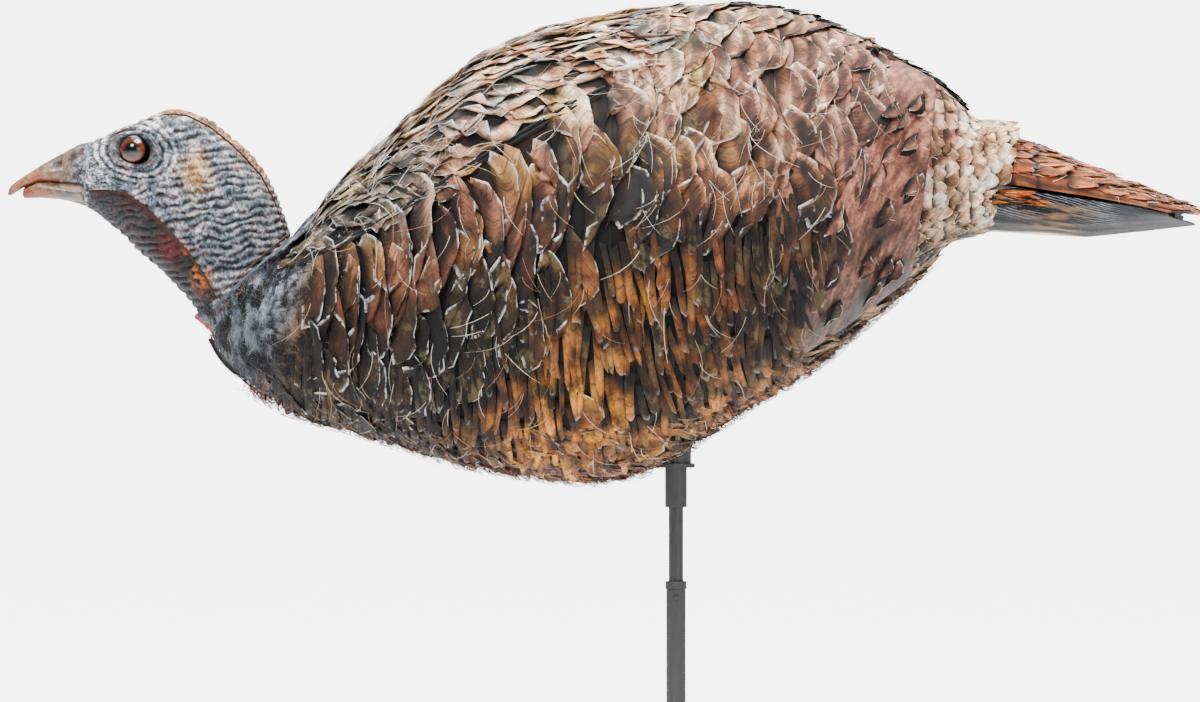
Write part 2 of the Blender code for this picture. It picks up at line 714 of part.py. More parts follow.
def lug_disc(name, place, parent, slot_width, slot_shift):
    """A disc bored for the shaft, with a slot for each root and a channel for the ring wire."""
    bore = SHAFT_RADIUS + FIT
    half = LUG_THICKNESS / 2
    profile = [(bore, half), (bore, -half), (LUG_RADIUS, -half), (LUG_RADIUS, half)]
    disc = add_object(name, turned_mesh(profile, 24), black_plastic(), place, parent)
    channel = torus_mesh(WIRE_RING, WIRE_RADIUS + FIT)
    boolean(disc, cutter(name + "_channel", channel, place, parent))
    for number, angle in enumerate(RIB_ANGLES, 1):
        low = (ROOT_FLOOR, slot_shift - slot_width / 2, -LUG_THICKNESS)
        high = (LUG_RADIUS * 1.5, slot_shift + slot_width / 2, LUG_THICKNESS)
        turn = place @ Matrix.Rotation(angle, 4, "Z")
        boolean(disc, cutter(f"{name}_slot_{number}", box_mesh(low, high), turn, parent))
    return disc


def shaft_frame(point):
    """A placement with Z along the shaft, X up from it and Y across, so that rib angles turn about Z."""
    return frame_at(point, SPINE_UP, Y_AXIS, SPINE_UP.cross(Y_AXIS))


def make_spine(parent):
    """Shaft, front crown with its wire, and the fork for the tail."""
    front = CROWN_SHARE * BODY_LENGTH + NECK_FOOT_AHEAD + NECK_FOOT_LENGTH / 2 + 0.003
    back = TAIL_HINGE_SHARE * BODY_LENGTH - 0.012
    shaft = turned_mesh(rod_profile(SHAFT_RADIUS, -front, back))
    add_object("spine_shaft", shaft, dark_metal(), along(HUB_POINT, SPINE), parent)
    place = shaft_frame(CROWN_POINT)
    lug_disc("front_crown", place, parent, RIB_THICKNESS + 2 * LINK_PLAY, 0.0)
    add_object("crown_wire", torus_mesh(WIRE_RING, WIRE_RADIUS), spring_steel(), place, parent)
    make_tail_fork(parent)


def make_tail_fork(parent):
    """A fork on the shaft's rear end, bored across for the tail's hinge pin."""
    place = frame_at(TAIL_HINGE, SPINE, Y_AXIS, SPINE_UP)
    low = (-TAIL_FORK_BACK, -TAIL_FORK_HALF_WIDTH, -TAIL_FORK_HALF_DEPTH)
    high = (TAIL_FORK_TIP, TAIL_FORK_HALF_WIDTH, TAIL_FORK_HALF_DEPTH)
    fork = add_object("tail_fork", box_mesh(low, high), black_plastic(), place, parent)
    low = (-TAIL_SLOT_START, -TAIL_SLOT_HALF, -2 * TAIL_FORK_BACK)
    high = (2 * TAIL_FORK_BACK, TAIL_SLOT_HALF, 2 * TAIL_FORK_BACK)
    boolean(fork, cutter("tail_fork_slot", box_mesh(low, high), place, parent))
    bore = turned_mesh(rod_profile(SHAFT_RADIUS + FIT, -2 * TAIL_FORK_BACK, -TAIL_BORE_END + FIT))
    boolean(fork, cutter("tail_fork_bore", bore, along(TAIL_HINGE, SPINE), parent))
    across = frame_at(TAIL_HINGE, Vector((1, 0, 0)), Vector((0, 0, 1)), -Y_AXIS)
    pin_hole = turned_mesh(rod_profile(BOLT_RADIUS + FIT, -TAIL_FORK_BACK, TAIL_FORK_BACK), 16)
    boolean(fork, cutter("tail_fork_pin_hole", pin_hole, across, parent))
    seat = TAIL_FORK_HALF_WIDTH + FIT
    end = seat + PIN_HEAD_HEIGHT
    stem = [(0.0, -end), (BOLT_RADIUS, -end), (BOLT_RADIUS, seat)]
    pin = stem + [(PIN_HEAD, seat), (PIN_HEAD, end), (0.0, end)]
    add_object("tail_hinge_pin", turned_mesh(pin, 16), spring_steel(), across, parent)


def make_ribs(parent):
    """Ribs on the crown's wire, each in a frame with X along the rib and Y across it."""
    for number, angle in enumerate(RIB_ANGLES, 1):
        out = radial(angle)
        direction = SPINE * math.cos(RIB_OPEN) + out * math.sin(RIB_OPEN)
        across = SPINE_UP * -math.sin(angle) + Y_AXIS * math.cos(angle)
        place = frame_at(CROWN_POINT + out * WIRE_RING, direction, across, direction.cross(across))
        bar = link_mesh(rib_length(angle), RIB_THICKNESS, RIB_HALF_DEPTH, LINK_EYE, RIB_TIP)
        rib = add_object(f"rib_{number}", bar, spring_steel(), place, parent)
        boolean(rib, root_hole(f"rib_{number}_eye", place, parent))


def root_hole(name, place, parent):
    """The eye for the ring wire, a little larger than it because the wire is curved."""
    hole = turned_mesh(rod_profile(WIRE_RADIUS + 2 * FIT, -0.01, 0.01), 12)
    across = place @ Matrix.Rotation(math.pi / 2, 4, "X")
    return cutter(name, hole, across, parent)


def link_shift():
    """How far a stretcher lies beside its rib."""
    return RIB_THICKNESS / 2 + LINK_PLAY + STRETCHER_THICKNESS / 2


def make_runner(parent):
    """Runner, its wire and its rubber grip ring, at the runner's open place."""
    centre = CROWN_POINT + SPINE * runner_reach(RIB_OPEN)
    place = shaft_frame(centre)
    lug_disc("runner", place, parent, STRETCHER_THICKNESS + 2 * LINK_PLAY, link_shift())
    add_object("runner_wire", torus_mesh(WIRE_RING, WIRE_RADIUS), spring_steel(), place, parent)
    start = LUG_THICKNESS / 2 + FIT
    inner = SHAFT_RADIUS + FIT
    sleeve = tube_profile(inner, inner + RUNNER_WALL, start, start + RUNNER_SLEEVE)
    add_object("runner_sleeve", turned_mesh(sleeve), black_plastic(), along(centre, SPINE), parent)
    grip = centre + SPINE * (start + RUNNER_SLEEVE + GRIP_RING_WIRE + FIT)
    ring = torus_mesh(inner + GRIP_RING_WIRE, GRIP_RING_WIRE, 16)
    add_object("runner_grip_ring", ring, rubber(), shaft_frame(grip), parent)


def make_stretchers(parent):
    """Stretchers on the runner's wire. Each outer end lies beside its rib, where the pivot is left open."""
    lean = math.asin(PIVOT_ALONG * math.sin(RIB_OPEN) / STRETCHER)
    centre = CROWN_POINT + SPINE * runner_reach(RIB_OPEN)
    for number, angle in enumerate(RIB_ANGLES, 1):
        out = radial(angle)
        across = SPINE_UP * -math.sin(angle) + Y_AXIS * math.cos(angle)
        direction = out * math.sin(lean) - SPINE * math.cos(lean)
        root = centre + out * WIRE_RING + across * link_shift()
        place = frame_at(root, direction, across, direction.cross(across))
        bar = link_mesh(STRETCHER, STRETCHER_THICKNESS, STRETCHER_HALF_DEPTH, LINK_EYE, LINK_EYE * 0.8)
        stretcher = add_object(f"stretcher_{number}", bar, spring_steel(), place, parent)
        boolean(stretcher, root_hole(f"stretcher_{number}_eye", place, parent))


# ---- Neck and head -------------------------------------------------------------------------------
def make_neck(parent):
    """Post clamped on the shaft's front end, and the disc that closes the collar."""
    foot_half = NECK_FOOT_LENGTH / 2
    foot = add_object(
        "neck_post",
        turned_mesh(rod_profile(SHAFT_RADIUS * NECK_FOOT_SHARE, -foot_half, foot_half)),
        black_plastic(),
        along(NECK_FOOT, SPINE),
        parent,
    )
    post = turned_mesh(rod_profile(SHAFT_RADIUS, 0.0, NECK_SETBACK + POST_SHARE * HEAD_REACH))
    boolean(foot, cutter("neck_post_rod", post, along(NECK_FOOT, NECK), parent), "UNION")
    bore = turned_mesh(rod_profile(SHAFT_RADIUS + FIT, -2 * NECK_FOOT_LENGTH, 2 * NECK_FOOT_LENGTH))
    boolean(foot, cutter("neck_post_bore", bore, along(NECK_FOOT, SPINE), parent))
    rim = min(COLLAR_DEPTH, COLLAR_WIDTH) / 2 - FEATHER_PILE - SKIN - 10 * FIT
    disc = tube_profile(SHAFT_RADIUS + FIT, rim, DISC_BOTTOM, DISC_TOP)
    add_object("collar_disc", turned_mesh(disc, 32), black_plastic(), along(COLLAR_POINT, NECK), parent)


def head_ring_values():
    """The head's rings in metres."""
    values = []
    for ring in HEAD_RINGS:
        values.append(
            (
                ring.back_out * COLLAR_DEPTH,
                ring.back_on * HEAD_REACH,
                ring.throat_out * COLLAR_DEPTH,
                ring.throat_on * HEAD_REACH,
                ring.wide * HEAD_WIDTH / 2,
            )
        )
    return values


HEAD_VALUES = head_ring_values()
FACE = len(HEAD_RINGS) - 1.0
HEAD_ROWS = 12
HEAD_SIDES = 16


def head_point(at, angle, depth=0.0):
    """A point of the head in the neck's frame, X to the back and Z along the neck, a depth inside."""
    back_x, back_z, throat_x, throat_z, half_width = smooth_between(HEAD_VALUES, at)
    middle = Vector((back_x + throat_x, 0.0, back_z + throat_z)) / 2
    rise = Vector((back_x - throat_x, 0.0, back_z - throat_z)) / 2
    inside_rise = rise * (1.0 - depth / rise.length)
    return middle + inside_rise * math.cos(angle) + Y_AXIS * (half_width - depth) * math.sin(angle)


def head_panel(name, colour, low, high, columns, parent):
    """A sewn panel of the head, between two angles from the back of the neck."""
    edge = SEAM_GAP / HEAD_WIDTH
    grids = ([], [])
    for i in range(HEAD_ROWS + 1):
        at = FACE * i / HEAD_ROWS
        for grid, depth in zip(grids, (HEAD_PILE, HEAD_PILE + HEAD_SKIN)):
            start, end = low + edge, high - edge
            angles = [start + (end - start) * j / columns for j in range(columns + 1)]
            grid.append([head_point(at, angle, depth) for angle in angles])
    return add_object(name, sheet_mesh(*grids), fabric(name, colour), parent=parent)


def make_head(parent):
    """Foam core, four sewn panels, two eyes and the two halves of the beak."""
    inside = HEAD_PILE + HEAD_SKIN + 3 * FIT
    rings = []
    for i in range(HEAD_ROWS + 1):
        at = FACE * i / HEAD_ROWS
        rings.append([head_point(at, math.tau * k / HEAD_SIDES, inside) for k in range(HEAD_SIDES)])
    core = add_object("head_core", lofted_mesh(rings), material("foam", (0.6, 0.6, 0.58), 0.9), parent=parent)
    post = turned_mesh(rod_profile(SHAFT_RADIUS + FIT, -0.02, 0.55 * HEAD_REACH + 0.002))
    boolean(core, cutter("head_core_bore", post, parent=parent))
    head_panel("crown_strip", (0.5, 0.28, 0.15), -CROWN_STRIP_EDGE, CROWN_STRIP_EDGE, 2, parent)
    left = head_panel("face_left", (0.45, 0.5, 0.55), -THROAT_EDGE, -CROWN_STRIP_EDGE, 6, parent)
    right = head_panel("face_right", (0.45, 0.5, 0.55), CROWN_STRIP_EDGE, THROAT_EDGE, 6, parent)
    head_panel("throat_panel", (0.2, 0.17, 0.16), THROAT_EDGE, math.tau - THROAT_EDGE, 4, parent)
    surface = HEAD_WIDTH / 2 * 0.885
    for side, word, panel in ((-1.0, "left", left), (1.0, "right", right)):
        centre = Vector((EYE_OUT * COLLAR_DEPTH, side * (surface - EYE_SINK), EYE_ON * HEAD_REACH))
        place = Matrix.Translation(centre)
        eye = bmesh.new()
        bmesh.ops.create_uvsphere(eye, u_segments=16, v_segments=10, radius=EYE_RADIUS)
        add_object("eye_" + word, eye, material("eye_glass", (0.2, 0.07, 0.03), 0.05), place, parent)
        hollow = bmesh.new()
        bmesh.ops.create_uvsphere(hollow, u_segments=16, v_segments=10, radius=EYE_RADIUS + 2 * FIT)
        tool = cutter("eye_socket_" + word, hollow, place, parent)
        boolean(panel, tool)
        boolean(core, tool)
    make_beak(parent)


def make_beak(parent):
    """Upper and lower beak, lofted ahead of the face."""
    top, bottom = head_point(FACE, 0.0), head_point(FACE, math.pi)
    middle, rise = (top + bottom) / 2, (top - bottom) / 2
    ahead = Vector((-rise.z, 0.0, rise.x)).normalized()
    if ahead.z < 0.0:
        ahead = -ahead
    for name, stations in (("upper_beak", UPPER_BEAK), ("lower_beak", LOWER_BEAK)):
        rings = []
        for share, high, low, half_width in stations:
            centre = middle + ahead * (share * BEAK_LENGTH) + rise * ((high + low) / 2)
            half = rise * ((high - low) / 2)
            ring = []
            for k in range(14):
                turn = math.tau * k / 14
                ring.append(centre + half * math.cos(turn) + Y_AXIS * half_width * math.sin(turn))
            rings.append(ring)
        add_object(name, lofted_mesh(rings), material("beak_horn", (0.6, 0.36, 0.2), 0.45), parent=parent)


# ---- Tail ----------------------------------------------------------------------------------------
TAIL_START = 0.006  # root of the covers behind the hinge
TAIL_TOP_DROP = 0.00988  # root of the top cover below the last ring's back
TAIL_UNDER_RISE = 0.00626  # root of the under cover above the last ring's belly
TAIL_TOP_ROOT = SPINE_HEIGHT + BODY_RINGS[-1].back_up * BODY_DEPTH - TAIL_TOP_DROP - TAIL_HINGE.z
TAIL_TOP_TIP = -0.0165
TAIL_EDGE_ROOT = 0.004
TAIL_EDGE_TIP = -0.0185
TAIL_UNDER_ROOT = SPINE_HEIGHT + BODY_RINGS[-1].belly_up * BODY_DEPTH + TAIL_UNDER_RISE - TAIL_HINGE.z
TAIL_UNDER_MIDDLE = -0.034
TAIL_UNDER_TIP = -0.0215


def tail_line(values, share):
    """A smooth line through two or three heights."""
    if len(values) == 2:
        return values[0] + (values[1] - values[0]) * share
    low, middle, high = values
    ends = low * (1 - share) * (1 - 2 * share) + high * share * (2 * share - 1)
    return ends + middle * 4 * share * (1 - share)


def tail_point(share, across, crest, edge, depth=0.0):
    """A point of a tail cover in the hinge's frame: share along, and -1 to 1 across."""
    half = tail_line((TAIL_ROOT_WIDTH, TAIL_TIP_WIDTH), share) / 2
    round_end = 0.18 * across * across * share * share
    x = TAIL_START + (TAIL_LENGTH - TAIL_START) * share * (1.0 - round_end)
    height = tail_line(edge, share) + (tail_line(crest, share) - tail_line(edge, share)) * math.sqrt(
        max(0.0, 1.0 - across * across)
    )
    return Vector((x, half * across, height - depth))


def tail_sheet(name, colour, crest, edge, depth, parent):
    """One cover of the tail."""
    rows, columns = 6, 8
    outer, inner = [], []
    for i in range(rows + 1):
        share = i / rows
        line = [math.sin(math.pi / 2 * (2 * j / columns - 1)) for j in range(columns + 1)]
        outer.append([tail_point(share, across, crest, edge) for across in line])
        inner.append([tail_point(share, across * 0.97, crest, edge, depth) for across in line])
    return add_object(name, sheet_mesh(outer, inner), fabric(name, colour), parent=parent)


def make_tail(parent):
    """Board on the hinge pin, and the covers above and below it."""
    top_crest, top_edge = (TAIL_TOP_ROOT, TAIL_TOP_TIP), (TAIL_EDGE_ROOT, TAIL_EDGE_TIP)
    tail_sheet("tail_top_cover", (0.5, 0.2, 0.1), top_crest, top_edge, TAIL_SKIN, parent)
    drop = 2 * TAIL_SKIN + TAIL_BOARD
    under_crest = (TAIL_UNDER_ROOT, TAIL_UNDER_MIDDLE, TAIL_UNDER_TIP - 0.004)
    under_edge = (TAIL_EDGE_ROOT - drop, TAIL_EDGE_TIP - drop + 0.0015)
    tail_sheet("tail_under_cover", (0.25, 0.27, 0.32), under_crest, under_edge, -TAIL_SKIN, parent)
    board = bmesh.new()
    outline = TAIL_OUTLINE + [(x, -y) for x, y in reversed(TAIL_OUTLINE)]
    face = board.faces.new([board.verts.new((x, y, -TAIL_BOARD / 2)) for x, y in outline])
    grown = bmesh.ops.extrude_face_region(board, geom=[face])
    moved = [v for v in grown["geom"] if isinstance(v, bmesh.types.BMVert)]
    bmesh.ops.translate(board, verts=moved, vec=(0.0, 0.0, TAIL_BOARD))
    tilt = math.atan2(TAIL_EDGE_TIP - TAIL_EDGE_ROOT, TAIL_LENGTH)
    place = Matrix.Rotation(-tilt, 4, "Y")
    plate = add_object("tail_board", board, black_plastic(), place, parent)
    knuckle = turned_mesh(rod_profile(TAIL_KNUCKLE_HALF, -TAIL_KNUCKLE_HALF, TAIL_KNUCKLE_HALF), 20)
    across = frame_at(Vector((0, 0, 0)), Vector((1, 0, 0)), Vector((0, 0, 1)), -Y_AXIS)
    boolean(plate, cutter("tail_knuckle", knuckle, across, parent), "UNION")
    pin_hole = turned_mesh(rod_profile(BOLT_RADIUS + FIT, -TAIL_FORK_BACK, TAIL_FORK_BACK), 16)
    boolean(plate, cutter("tail_knuckle_hole", pin_hole, across, parent))


# ---- Assembly ------------------------------------------------------------------------------------
def main():
    """Build every piece and hang it on its joint."""
    clear_scene()
    make_stake()
    rod = add_empty("rod_slide", Matrix.Identity(4))
    make_rod(rod)
    decoy = add_empty("decoy_swivel", Matrix.Identity(4), rod)
    make_socket(decoy)
    make_spine(decoy)
    make_ribs(decoy)
    make_runner(decoy)
    make_stretchers(decoy)
    make_neck(decoy)
    make_body_skin(decoy)
    head = add_empty("head_turn", frame_at(COLLAR_POINT, NECK_BACK, Y_AXIS, NECK), decoy)
    make_head(head)
    tail = add_empty("tail_tilt", Matrix.Translation(TAIL_HINGE), decoy)
    make_tail(tail)


if __name__ == "__main__":
    main()
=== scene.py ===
"""Looks of a hen turkey decoy: die-cut feather cloth over an umbrella frame, a sewn head and a ground stake.

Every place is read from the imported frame. The bird's head points to -X, its tail to +X, and +Z is up.
"""
from __future__ import annotations

import json
import logging
import math
from dataclasses import dataclass, field
from enum import Enum
from typing import Callable

import bpy
import numpy as np
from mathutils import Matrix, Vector
from mathutils.bvhtree import BVHTree


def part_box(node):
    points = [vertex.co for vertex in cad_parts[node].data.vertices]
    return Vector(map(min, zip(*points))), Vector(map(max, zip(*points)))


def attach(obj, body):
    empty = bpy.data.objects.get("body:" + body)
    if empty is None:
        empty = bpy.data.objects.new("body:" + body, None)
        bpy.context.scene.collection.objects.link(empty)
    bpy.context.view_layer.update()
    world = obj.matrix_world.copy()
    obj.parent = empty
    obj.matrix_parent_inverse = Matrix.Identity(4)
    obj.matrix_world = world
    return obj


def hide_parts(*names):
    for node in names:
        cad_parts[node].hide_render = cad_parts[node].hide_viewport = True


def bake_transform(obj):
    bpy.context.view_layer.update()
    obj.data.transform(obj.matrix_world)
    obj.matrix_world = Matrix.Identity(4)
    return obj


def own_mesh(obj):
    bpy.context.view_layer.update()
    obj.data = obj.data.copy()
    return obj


LOG = logging.getLogger("hen_decoy")
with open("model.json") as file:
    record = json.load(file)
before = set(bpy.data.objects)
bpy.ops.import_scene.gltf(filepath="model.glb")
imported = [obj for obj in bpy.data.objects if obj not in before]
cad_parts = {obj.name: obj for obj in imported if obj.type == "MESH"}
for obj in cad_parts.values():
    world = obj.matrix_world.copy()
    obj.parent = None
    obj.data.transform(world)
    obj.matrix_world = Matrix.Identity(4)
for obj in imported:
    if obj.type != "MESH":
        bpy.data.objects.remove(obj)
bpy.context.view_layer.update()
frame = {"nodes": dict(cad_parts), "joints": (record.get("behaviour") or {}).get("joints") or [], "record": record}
TURN = 2.0 * math.pi
BODY = "decoy_body"
HEAD = "head"
TAIL = "tail"
BRIGHTNESS = np.array([0.25, 0.60, 0.15])  # share of red, green and blue
Painter = Callable[[np.ndarray, np.ndarray, np.ndarray, np.ndarray], np.ndarray]


def joint(name: str) -> dict:
    """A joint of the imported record, by name."""
    return next(entry for entry in frame["joints"] if entry["name"] == name)


def axis_of(name: str) -> np.ndarray:
    """The unit axis of a joint."""
    found = np.array(joint(name)["axis"], float)
    return found / np.linalg.norm(found)


COLLAR = np.array(joint("head_turn")["pos_m"], float)
TAIL_HINGE = np.array(joint("tail_tilt")["pos_m"], float)
NECK = axis_of("head_turn")
SPINE = axis_of("runner_slide")
NECK_BACK = np.array([NECK[2], 0.0, -NECK[0]])
ACROSS = np.array([0.0, 1.0, 0.0])
UP = np.array([0.0, 0.0, 1.0])


# ---------------------------------------------------------------------------------------------
# Numbers over arrays
# ---------------------------------------------------------------------------------------------
def unit(vectors: np.ndarray) -> np.ndarray:
    """Vectors scaled to length one along the last axis."""
    return vectors / np.maximum(np.linalg.norm(vectors, axis=-1, keepdims=True), 1e-12)


def rise(low: float, high: float, values: np.ndarray) -> np.ndarray:
    """A smooth step from 0 at low to 1 at high."""
    share = np.clip((np.asarray(values, float) - low) / (high - low), 0.0, 1.0)
    return share * share * (3.0 - 2.0 * share)


def spot(values: np.ndarray, middle: float, spread: float) -> np.ndarray:
    """A bell around a middle value."""
    return np.exp(-(((np.asarray(values, float) - middle) / spread) ** 2))


def mixed(low: np.ndarray, high: np.ndarray, share: np.ndarray) -> np.ndarray:
    """Two colours or arrays of colours, mixed by a share for each point."""
    share = np.asarray(share, float)
    return np.asarray(low) * (1.0 - share[..., None]) + np.asarray(high) * share[..., None]


def deg(value: float) -> float:
    """Degrees as radians."""
    return math.radians(value)


def from_top(angle: np.ndarray) -> np.ndarray:
    """How far angles lie from the top, on either side."""
    return np.abs((np.asarray(angle) + math.pi) % TURN - math.pi)


def turns(count: int) -> np.ndarray:
    """Angles spaced evenly round a ring."""
    return TURN * np.arange(count) / count


def level(angle: float) -> Callable[[np.ndarray], np.ndarray]:
    """A panel's edge that keeps one angle all along."""
    return lambda share: np.full(np.shape(share), angle)


def enriched(colours: np.ndarray, depth: float = 1.18, strength: float = 1.45) -> np.ndarray:
    """Dyes as they take on cloth: deeper and stronger than they are mixed.

    Args:
        colours: (n, 3) mixed dyes.
        depth: Power that deepens them.
        strength: How far they move away from grey.

    Returns:
        (n, 3) colours.
    """
    grey = colours @ BRIGHTNESS
    strong = np.clip(grey[..., None] + (colours - grey[..., None]) * strength, 0.0005, 1.0)
    return strong**depth


class Ripple:
    """Smooth random relief in space, the same for the same seed."""

    CELLS = 256
    HEIGHT = 1.6

    def __init__(self, seed: int) -> None:
        """Draw the slopes.

        Args:
            seed: Number that fixes the relief.
        """
        draw = np.random.default_rng(seed)
        self.slopes = unit(draw.normal(size=(self.CELLS, 3)))
        self.order = np.concatenate([draw.permutation(self.CELLS)] * 3)

    def at(self, places: np.ndarray) -> np.ndarray:
        """Relief from about -1 to 1.

        Args:
            places: Points, the last axis holding x, y and z in waves.

        Returns:
            One height for each point.
        """
        cell = np.floor(places).astype(int)
        inside = places - cell
        fade = inside * inside * (3.0 - 2.0 * inside)
        total = np.zeros(places.shape[:-1])
        for corner in range(8):
            step = np.array([corner & 1, (corner >> 1) & 1, (corner >> 2) & 1])
            near = (cell + step) % self.CELLS
            key = self.order[self.order[self.order[near[..., 0]] + near[..., 1]] + near[..., 2]]
            slope = np.sum(self.slopes[key] * (inside - step), axis=-1)
            weight = np.prod(np.where(step, fade, 1.0 - fade), axis=-1)
            total += slope * weight
        return total * self.HEIGHT

    def layered(self, places: np.ndarray, layers: int, gain: float = 0.5) -> np.ndarray:
        """Several sizes of relief added up, each finer and weaker than the one before.

        Args:
            places: Points, as at takes them.
            layers: How many sizes.
            gain: Strength of each against the one before.

        Returns:
            One height for each point.
        """
        total, weight = np.zeros(places.shape[:-1]), 1.0
        for layer in range(layers):
            total += weight * self.at(places * 2.0**layer + 17.0 * layer)
            weight *= gain
        return total


# ---------------------------------------------------------------------------------------------
# Meshes
# ---------------------------------------------------------------------------------------------
@dataclass
class Cloth:
    """Points, faces and painted values of one piece while it is being made."""

    points: list[np.ndarray] = field(default_factory=list)
    quads: list[np.ndarray] = field(default_factory=list)
    triangles: list[np.ndarray] = field(default_factory=list)
    paint: dict[str, list[np.ndarray]] = field(default_factory=dict)
    count: int = 0

    def add(
        self,
        points: np.ndarray,
        quads: np.ndarray | None = None,
        triangles: np.ndarray | None = None,
        **paint: np.ndarray,
    ) -> None:
        """Add points with their faces and painted values.

        Args:
            points: (n, 3) places.
            quads: (m, 4) corners, counted from these points' first.
            triangles: (m, 3) corners, counted the same way.
            **paint: (n, 3) values for each named attribute.
        """
        if quads is not None and len(quads):
            self.quads.append(quads + self.count)
        if triangles is not None and len(triangles):
            self.triangles.append(triangles + self.count)
        for name, values in paint.items():
            self.paint.setdefault(name, []).append(np.broadcast_to(values, points.shape))
        self.points.append(points)
        self.count += len(points)

    def piece(self, name: str, finish: bpy.types.Material, slot: str, body: str | None) -> bpy.types.Object:
        """Make the object, with its finish and the body that it rides.

        Args:
            name: The piece's name.
            finish: Its material.
            slot: The record's material slot; not used.
            body: The CAD body that it moves with.

        Returns:
            The finished object.
        """
        points = np.concatenate(self.points)
        faces = [np.concatenate(part) for part in (self.quads, self.triangles) if part]
        corners = np.concatenate([part.ravel() for part in faces])
        sizes = np.concatenate([np.full(len(part), part.shape[1]) for part in faces])
        mesh = bpy.data.meshes.new(name)
        mesh.vertices.add(len(points))
        mesh.vertices.foreach_set("co", points.astype(np.float32).ravel())
        mesh.loops.add(len(corners))
        mesh.loops.foreach_set("vertex_index", corners.astype(np.int32))
        mesh.polygons.add(len(sizes))
        mesh.polygons.foreach_set("loop_start", (np.cumsum(sizes) - sizes).astype(np.int32))
        mesh.update(calc_edges=True)
        mesh.validate()
        for attribute, parts in self.paint.items():
            values = np.concatenate(parts)
            if attribute == "tint":
                values = enriched(values)
            layer = mesh.attributes.new(attribute, "FLOAT_COLOR", "POINT")
            filled = np.concatenate([values, np.ones((len(values), 1))], axis=1)
            layer.data.foreach_set("color", filled.astype(np.float32).ravel())
        mesh.shade_smooth()
        mesh.materials.append(finish)
        made = bpy.data.objects.new(name, mesh)
        bpy.context.scene.collection.objects.link(made)
        if body is not None:
            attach(made, body)
        LOG.info("%s: %d faces", name, len(sizes))
        return made


def grid_quads(rows: int, columns: int, wrap: bool = False, flip: bool = False) -> np.ndarray:
    """Quads of a grid of points numbered row by row.

    Args:
        rows: Rows of points.
        columns: Points in a row.
        wrap: Join the last column to the first.
        flip: Turn the faces over.

    Returns:
        (m, 4) corners.
    """
    first = np.arange(rows - 1)[:, None] * columns
    here = np.arange(columns if wrap else columns - 1)
    there = (here + 1) % columns
    quads = np.stack(
        [first + here, first + there, first + columns + there, first + columns + here], axis=-1
    ).reshape(-1, 4)
    return quads[:, ::-1] if flip else quads


def sheet_quads(rows: int, columns: int) -> np.ndarray:
    """Quads of a closed sheet: an upper grid, then a lower grid, then the rim between them.

    Args:
        rows: Rows of points on each side.
        columns: Points in a row.

    Returns:
        (m, 4) corners.
    """
    size = rows * columns
    upper = grid_quads(rows, columns)
    lower = grid_quads(rows, columns, flip=True) + size
    index = np.arange(size).reshape(rows, columns)
    rim = np.concatenate([index[0, :-1], index[:-1, -1], index[-1, :0:-1], index[:0:-1, 0]])
    after = np.roll(rim, -1)
    walls = np.stack([rim, rim + size, after + size, after], axis=-1)
    return np.concatenate([upper, lower, walls])


def repeated(quads: np.ndarray, copies: int, size: int) -> np.ndarray:
    """The same quads for many copies of a patch that has size points."""
    return (quads[None] + (np.arange(copies) * size)[:, None, None]).reshape(-1, quads.shape[1])


def add_tube(
    cloth: Cloth, rings: np.ndarray, tips: np.ndarray, tint: np.ndarray, tip_tint: np.ndarray
) -> None:
    """A tube of rings, closed by one point at each end.

    Args:
        cloth: What it is added to.
        rings: (rows, columns, 3) points.
        tips: (2, 3) its first and its last point.
        tint: (rows, columns, 3) colours of the rings.
        tip_tint: (2, 3) colours of the tips.
    """
    rows, columns = rings.shape[:2]
    count = rows * columns
    here = np.arange(columns)
    after = (here + 1) % columns
    last_ring = count - columns
    front = np.stack([np.full(columns, count), after, here], axis=1)
    rear = np.stack([np.full(columns, count + 1), last_ring + here, last_ring + after], axis=1)
    cloth.add(
        np.concatenate([rings.reshape(-1, 3), tips]),
        grid_quads(rows, columns, wrap=True),
        np.concatenate([front, rear]),
        tint=np.concatenate([tint.reshape(-1, 3), tip_tint]),
    )


THREAD_SIDES = 3
THREAD_TAPER = 0.6
ANY_WAY = np.array([0.31, 0.87, 0.38])  # a direction that no thread lies along


def add_fibres(cloth: Cloth, lines: np.ndarray, radius: np.ndarray, tint: np.ndarray) -> None:
    """Three-sided threads along many lines, thinner towards their ends.

    Args:
        cloth: What the threads are added to.
        lines: (n, k, 3) points along each thread.
        radius: (n,) half thickness of each.
        tint: (n, 3) colours.
    """
    count, steps = lines.shape[:2]
    if not count:
        return
    ahead = unit(np.gradient(lines, axis=1))
    side = unit(np.cross(ahead, ANY_WAY))
    over = np.cross(ahead, side)
    slim = radius[:, None, None] * (1.0 - THREAD_TAPER * np.linspace(0.0, 1.0, steps) ** 2)[None, :, None]
    rings = []
    for k in range(THREAD_SIDES):
        turn = TURN * k / THREAD_SIDES
        rings.append(lines + slim * (side * math.cos(turn) + over * math.sin(turn)))
    points = np.stack(rings, axis=2).reshape(-1, 3)
    size = steps * THREAD_SIDES
    quads = repeated(grid_quads(steps, THREAD_SIDES, wrap=True), count, size)
    ends = np.array([[0, 2, 1], [size - 3, size - 2, size - 1]])
    cloth.add(points, quads, repeated(ends, count, size), tint=np.repeat(tint, size, axis=0))


